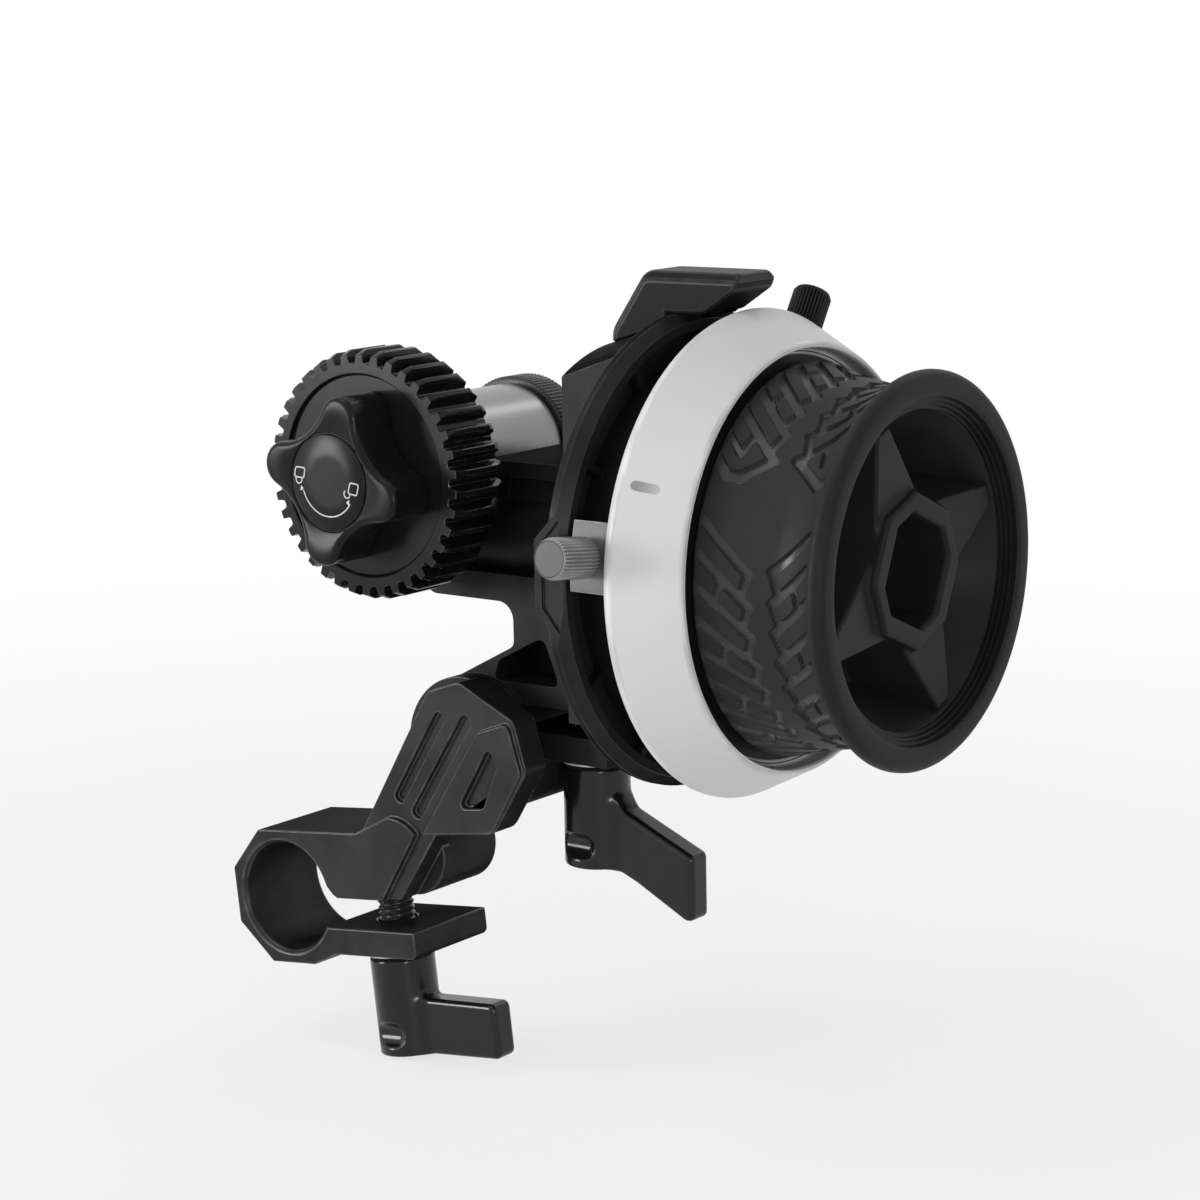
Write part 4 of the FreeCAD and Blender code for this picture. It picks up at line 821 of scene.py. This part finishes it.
# Wheel core: moulded in hard black plastic and turned true, with a bored boss, a stepped dish and
# a four-rayed collar round a square crank socket. Its steel lug meets the hard stops.
core_black = blasted("core_black", 0.014, 0.38, 0.10, 8.0)
eased(black_steel, anodised_edge, 0.12, "stop_lug")
eased(bright_steel, bright_edge, 0.10, "hub_screw")

BOSS_BACK = 34.0
BOSS_RADIUS = 6.5
SHAFT_RADIUS = 3.0
FLANGE_BACK = 38.1
FLANGE_FRONT = 44.4
FLANGE_RADIUS = 24.9
RIM_INSIDE = 18.6
RIM_RADIUS = 20.9
RIM_FRONT = 63.4
WEB_BACK = 51.1
DISH_FLOOR = 53.5
SLEEVE_BACK = 46.6
STEP = 0.45
SOCKET_FLOOR = 50.0
wheel_centre = pivot_point + Vector((0, 8.0, 27.6))
wheel_axis = Matrix.Translation(wheel_centre) @ Matrix(((0, 0, 1), (1, 0, 0), (0, 1, 0))).to_4x4()
core_rows = [
    (BOSS_BACK, SHAFT_RADIUS), (BOSS_BACK, BOSS_RADIUS - 0.2), (BOSS_BACK + 0.2, BOSS_RADIUS),
    (WEB_BACK, BOSS_RADIUS), (WEB_BACK, RIM_INSIDE), (FLANGE_BACK, RIM_INSIDE),
    (FLANGE_BACK, FLANGE_RADIUS - 0.3), (FLANGE_BACK + 0.3, FLANGE_RADIUS),
    (FLANGE_FRONT, FLANGE_RADIUS), (FLANGE_FRONT, 23.5), (SLEEVE_BACK, 23.5),
    (SLEEVE_BACK, RIM_RADIUS), (RIM_FRONT, RIM_RADIUS),
]
for edge in range(6):
    along = RIM_FRONT - STEP * (edge // 2)
    out = RIM_RADIUS - 0.05 - STEP * ((edge + 1) // 2)
    core_rows += [(along, out + 0.05), (along, out)]
core_rows += [
    (62.05, 19.5), (62.0, 19.4), (DISH_FLOOR + 0.2, 14.6), (DISH_FLOOR, 14.4), (DISH_FLOOR, 10.0),
    (SOCKET_FLOOR, 10.0), (SOCKET_FLOOR, 1.5), (47.6, 1.5), (47.6, SHAFT_RADIUS),
]
points, faces = lathe(core_rows, wheel_axis, 200, closed=True)
core = added("wheel_core_turned", points, faces, "handwheel", "core_plastic", core_black, sharp=24)
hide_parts("wheel_core")

COLLAR_TOP = 62.5
COLLAR_HALF = 9.0
RAY_END = 18.75


def star_form(x, y, z):
    """The crank socket's collar and its four rays, about X, with a ray on Y."""
    across = np.maximum(np.abs(y), np.abs(z))
    aside = np.minimum(np.abs(y), np.abs(z))
    corner = (across + aside) / math.sqrt(2)
    past = across - COLLAR_HALF
    fall = COLLAR_TOP - x
    collar = np.maximum(past - 0.30 * fall, corner - 8.8 - 0.24 * fall) * 0.94
    collar = rounded_meet(collar, -fall, 0.4)
    ray_top = 61.4 + 0.06 * past
    half = 4.6 - past * 0.33 + 0.30 * (ray_top - x)
    ray = rounded_meet((aside - half) * 0.9, x - ray_top, 0.3)
    ray = rounded_meet(ray, across - RAY_END - 0.12 * (62.2 - x), 0.3)
    star = np.maximum(blended(collar, ray, 0.5), np.hypot(y, z) - 19.3)
    square = np.maximum(corner - 6.2, across - 6.93) - 0.5 * np.maximum(x - 61.9, 0)
    socket = np.maximum(square, SOCKET_FLOOR - x)
    return np.maximum(-blended(-star, socket, 0.2), 49.8 - x)


points, faces = cast(star_form, (49.5, -19.6, -19.6), (62.9, 19.6, 19.6), 0.22)
star_turn = Matrix.Translation(wheel_centre) @ Matrix.Rotation(math.radians(21.7), 4, "X")
star = added("wheel_star_cast", [star_turn @ Vector(point) for point in points], faces,
             "handwheel", "core_plastic", core_black, sharp=180)
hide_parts("wheel_core")


# Marking disc: a white lacquered ring pressed onto the core, so that focus marks can be drawn and
# wiped off. One short line is engraved on it and filled with grey.
MARK_ANGLE = math.radians(24.4)
MARK_OUT = 29.5
MARK_ALONG = 41.8
mark_out = Vector((0, -math.cos(MARK_ANGLE), math.sin(MARK_ANGLE)))
mark_across = Vector((0, math.sin(MARK_ANGLE), math.cos(MARK_ANGLE)))
mark_centre = wheel_centre + Vector((MARK_ALONG, 0, 0)) + MARK_OUT * mark_out


def disc_paint(start):
    """White lacquer, with the engraved line as a round-ended groove that wears at one end."""
    spot = start.place()
    cloud = spot.noise(0.08, 3.0)
    speck = spot.noise(8.0, 2.0)
    forward = spot.along((1, 0, 0), mark_centre.x)
    past_end = (abs(forward) - 1.0).over(0.0)
    across = spot.along(tuple(mark_across), mark_centre.dot(mark_across))
    near = spot.along(tuple(mark_out), mark_centre.dot(mark_out)).ease(-6.0, -5.0)
    line = (past_end ** 2 + across ** 2).ease(0.42, 0.30) * near
    worn = forward.ease(2.2, -1.2)
    white = cloud.between(grey(0.67), grey(0.75))
    filler = speck.ease(0.2, 0.8).between(grey(0.24), grey(0.34))
    return {
        "Base Color": (line * (0.35 + 0.65 * worn)).between(white, filler),
        "Roughness": 0.40 + 0.12 * (speck - 0.5) + 0.1 * (cloud - 0.5) + 0.1 * line,
        "Normal": (speck * 0.1 - line).bump(0.35, 0.00006),
    }


white_disc = finish("white_disc", {"Specular IOR Level": 0.35}, disc_paint)
disc_edge = blasted("white_disc_edge", 0.70, 0.34, 0.45)
eased(white_disc, disc_edge, 0.50, "marking_disc", steps=4, sharp=24)


# Grip sleeve: moulded in black rubber and pulled over the core's rim, waisted in the middle and
# rolled to a lip in front. Two rows of slanted blocks stand between its grooves.
TREAD_PITCH = 9.633
REAR_SLANT = 2.35
FRONT_SLANT = 2.15
MM_PER_DEGREE = 0.40
GROOVE_DEPTH = 0.60
REAR_LOW = 46.0
REAR_HIGH = 53.3
FRONT_LOW = 56.2
FRONT_HIGH = 63.4
LAST_GROOVE = 15
GROOVE_MELD = 9.0


def rear_cut(x, count):
    """Where a rear groove crosses x, in degrees round the sleeve."""
    return 5.5 - TREAD_PITCH * count + REAR_SLANT * (REAR_HIGH - x)


def front_cut(x, count):
    """Where a front groove crosses x, in degrees round the sleeve."""
    return 7.0 - TREAD_PITCH * count + FRONT_SLANT * (x - FRONT_LOW)


def tread_lines():
    """The tread's grooves over half a turn, as (x, degrees, x, degrees, half width)."""
    lines = []
    for count in range(LAST_GROOVE + 1):
        cuts = [
            (rear_cut, REAR_LOW, REAR_HIGH, 0, 0.56),
            (front_cut, FRONT_LOW, FRONT_HIGH, 0, 0.54),
        ]
        if count < LAST_GROOVE:
            cuts.append((rear_cut, REAR_HIGH, 52.3, 1, 0.46))
            cuts.append((front_cut, FRONT_LOW, 57.0, 1, 0.40))
        if count % 2:
            cuts.append((rear_cut, 50.0, 49.2, 1, 0.40))
            cuts.append((front_cut, 59.2, 60.0, 1, 0.38))
        for at, start, end, further, half in cuts:
            lines.append((start, at(start, count), end, at(end, count + further), half))
    # Where the two half turns meet, wider grooves close the last block of each row.
    lines.append((REAR_LOW, -131.5, 49.2, -139.0, 0.40))
    for path in (
        [(REAR_HIGH, -139), (50.3, -146.3), (48.5, -146.6), (REAR_LOW, -140)],
        [(FRONT_LOW, -137.5), (60.4, -146.3), (FRONT_HIGH, -144.5)],
    ):
        for start, end in zip(path, path[1:]):
            lines.append((*start, *end, 0.66))
    return lines


def tread_cut(x, degrees):
    """How deep the tread is at each point, from 0 on a block to 1 on a groove's floor."""
    total = np.zeros_like(x)
    lowest = degrees.min() * MM_PER_DEGREE - 3
    highest = degrees.max() * MM_PER_DEGREE + 9
    for start_x, start_turn, end_x, end_turn, half in tread_lines():
        for turn in (-180, 0, 180, 360):
            start = np.array([start_x, (start_turn + turn) * MM_PER_DEGREE])
            run = np.array([end_x, (end_turn + turn) * MM_PER_DEGREE]) - start
            if start[1] + run[1] <= lowest or start[1] >= highest:
                continue
            from_x = x - start[0]
            from_y = degrees * MM_PER_DEGREE - start[1]
            share = np.clip((from_x * run[0] + from_y * run[1]) / (run @ run), 0, 1)
            distance = np.hypot(from_x - share * run[0], from_y - share * run[1]) - half
            total += np.exp(-GROOVE_MELD * np.minimum(distance, 6.0))
    distance = -np.log(np.maximum(total, 1e-12)) / GROOVE_MELD
    share = np.clip((distance + 0.07) / 0.17, 0, 1)
    return 1 - share * share * (3 - 2 * share)


SLEEVE_INSIDE = RIM_RADIUS + 0.02
SLEEVE_FRONT = 64.3
WAIST = 57.0
WAIST_RADIUS = 22.0
TREAD_BACK = 46.95
TREAD_FRONT = 62.3
TREAD_MIDDLE = 54.7
LIP_ROUND = 1.3
SLEEVE_SIDES = 1200


def sleeve_radius(x):
    """The sleeve's outside before the tread is cut."""
    if x < WAIST:
        return WAIST_RADIUS + 2.3 * ((WAIST - x) / 10.4) ** 1.22
    return WAIST_RADIUS + 2.12 * ((x - WAIST) / 5.9) ** 2.1


sleeve_rows = [(SLEEVE_BACK, SLEEVE_INSIDE), (SLEEVE_BACK, 22.5), (SLEEVE_BACK, 23.95),
               (SLEEVE_BACK + 0.06, 24.12), (SLEEVE_BACK + 0.18, 24.2)]
tread_start = len(sleeve_rows)
sleeve_rows += [(x, sleeve_radius(x)) for x in np.arange(TREAD_BACK, TREAD_FRONT + 0.01, 0.14)]
tread_end = len(sleeve_rows)
sleeve_rows += [(62.55, 24.10), (62.75, 24.15), (63.0, 24.15)]
sleeve_rows += [(63.0 + LIP_ROUND * math.sin(angle), 22.85 + LIP_ROUND * math.cos(angle))
                for angle in np.radians(range(15, 91, 15))]
sleeve_rows += [(SLEEVE_FRONT, 22.2), (SLEEVE_FRONT, 21.5), (SLEEVE_FRONT - 0.1, 21.1),
                (SLEEVE_FRONT - 0.3, SLEEVE_INSIDE), (60.0, SLEEVE_INSIDE), (52.0, SLEEVE_INSIDE)]
row_x, row_radius = np.array(sleeve_rows).T

# The points of each row slide round with the grooves, so that the mesh's lines run along them.
held_x = np.clip(row_x, TREAD_BACK, TREAD_FRONT)
held_x[tread_end:] = TREAD_FRONT
slant = np.where(held_x < TREAD_MIDDLE, -REAR_SLANT, FRONT_SLANT)
half_sides = SLEEVE_SIDES // 2
degrees = (slant * (held_x - TREAD_MIDDLE))[:, None] + np.arange(half_sides) * 360 / SLEEVE_SIDES
half_x = np.repeat(row_x[:, None], half_sides, 1)
fade = np.clip((61.9 - row_x) / 0.9, 0, 1) * np.clip((row_x - SLEEVE_BACK) / 0.3, 0, 1)
fade[:tread_start] = 0
fade[tread_end:] = 0
half_cut = tread_cut(half_x, degrees) * fade[:, None]
cut = np.concatenate([half_cut, half_cut], 1)
angles = np.radians(np.concatenate([degrees, degrees + 180], 1))
radius = row_radius[:, None] - GROOVE_DEPTH * cut
points = np.stack([
    wheel_centre.x + np.concatenate([half_x, half_x], 1),
    wheel_centre.y - radius * np.cos(angles),
    wheel_centre.z + radius * np.sin(angles),
], -1).reshape(-1, 3)
faces = turned_over(ring_faces(len(sleeve_rows), SLEEVE_SIDES, closed=True))


def rubber(start):
    """Dull rubber with painted shade darkening the lip, and the grooves' floors smoother and painted
    paler as a sheen.
    """
    spot = start.place()
    floor = start.add("Attribute", {"attribute_name": "groove"}, {}, "Fac")
    cloud = spot.noise(0.2, 3.0)
    speck = spot.noise(6.0, 3.0)
    block = cloud.between(grey(0.018), grey(0.024))
    # The darker lip is painted shade, and the paler groove floors are a painted sheen, on rubber of
    # one tone.
    lip = spot.along((1, 0, 0), wheel_centre.x + 62.0).ease(0.0, 1.2)
    return {
        "Base Color": floor.between(lip.between(block, grey(0.011)), grey(0.055)),
        "Roughness": 0.54 + 0.14 * (speck - 0.5) + 0.1 * (cloud - 0.5) - 0.28 * floor,
        "Normal": (speck * (1 - 0.8 * floor)).bump(0.16, 0.00003),
    }


grip_rubber = finish("grip_rubber", {"Specular IOR Level": 0.16}, rubber)
sleeve = added("grip_sleeve", points, faces, "handwheel", "grip_rubber", grip_rubber, sharp=38)
groove = sleeve.data.attributes.new("groove", "FLOAT", "POINT")
groove.data.foreach_set("value", cut.astype(np.float32).ravel())
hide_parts("wheel_grip")


# Hard stops: a ring rail in the flange carries two sliders, each locked where it stands by a
# knurled thumbscrew. One stop is grey and the other black, so that they are told apart.
rail_black = blasted("rail_black", 0.007, 0.5, 0.14)
grey_metal = blasted("stop_grey", 0.14, 0.46, 0.20, 8.0, 0.2)
# The grey slider's edge tone is about twice as light as its face: a painted highlight along its edges.
grey_edge = worn_and_highlit_edge("stop_grey_edge", 0.30, 0.28, 0.6)
eased(rail_black, rail_black, 0.10, "stop_rail")
eased(grey_metal, grey_edge, 0.12, "stop_slider_a")
eased(anodised, anodised_edge, 0.12, "stop_slider_b")
screw_grey = blasted("screw_grey", 0.085, 0.42, 0.2, 8.0, 0.2)
# Thumbscrew a's knurl ridges take this far lighter grey than its face: a painted highlight down the
# knurled side.
screw_painted_highlight = blasted("screw_painted_highlight", 0.34, 0.30, 0.4, 8.0, 0.6)
screw_black = blasted("screw_black", 0.008, 0.36, 0.16, 8.0)

SCREW_RIDGES = 34
SCREW_SIDES = 8 * SCREW_RIDGES
SCREW_RADIUS = 2.5
SCREW_END = 24.35
screw_ridge = knurl(SCREW_RIDGES, 0.30)
thread = [(SCREW_END, 0)] + thread_rows(SCREW_END, 28.7, radius=1.19, pitch=0.4, depth=0.16)
shank = [(28.95, 1.2), (28.95, 1.5), (29.45, 1.5), (29.5, 2.1), (29.6, 2.3)]
grip = [(29.8, SCREW_RADIUS, screw_ridge), (35.85, SCREW_RADIUS, screw_ridge), (36.18, 2.28)]
end_face = [(36.34, 2.2), (36.38, 2.14), (36.34, 2.08), (36.3, 2.06), (36.3, 0)]
grip_strips = range(len(thread + shank), len(thread + shank + grip))
# Screw a's ridges carry the painted highlight, and screw b's ridges keep its own black.
for letter, stop_angle, metal, ridge_metal, slot in (
    ("a", 173.0, screw_grey, screw_painted_highlight, "screw_grey"),
    ("b", 57.3, screw_black, screw_black, "black_metal"),
):
    turn = Matrix.Rotation(math.radians(stop_angle), 4, "X")
    screw_axis = Matrix.Translation(wheel_centre) @ turn @ Matrix.Translation((34.9, 0, 0)) \
        @ Matrix.Rotation(-math.pi / 2, 4, "X")
    points, faces = lathe(thread + shank + grip + end_face, screw_axis, SCREW_SIDES)
    screw = added("thumbscrew_%s_knurled" % letter, points, faces, "thumbscrew_" + letter, slot, metal)
    screw.data.materials.append(ridge_metal)
    for face in screw.data.polygons:
        face.material_index = int(face.index // SCREW_SIDES in grip_strips)
    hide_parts("stop_screw_" + letter)
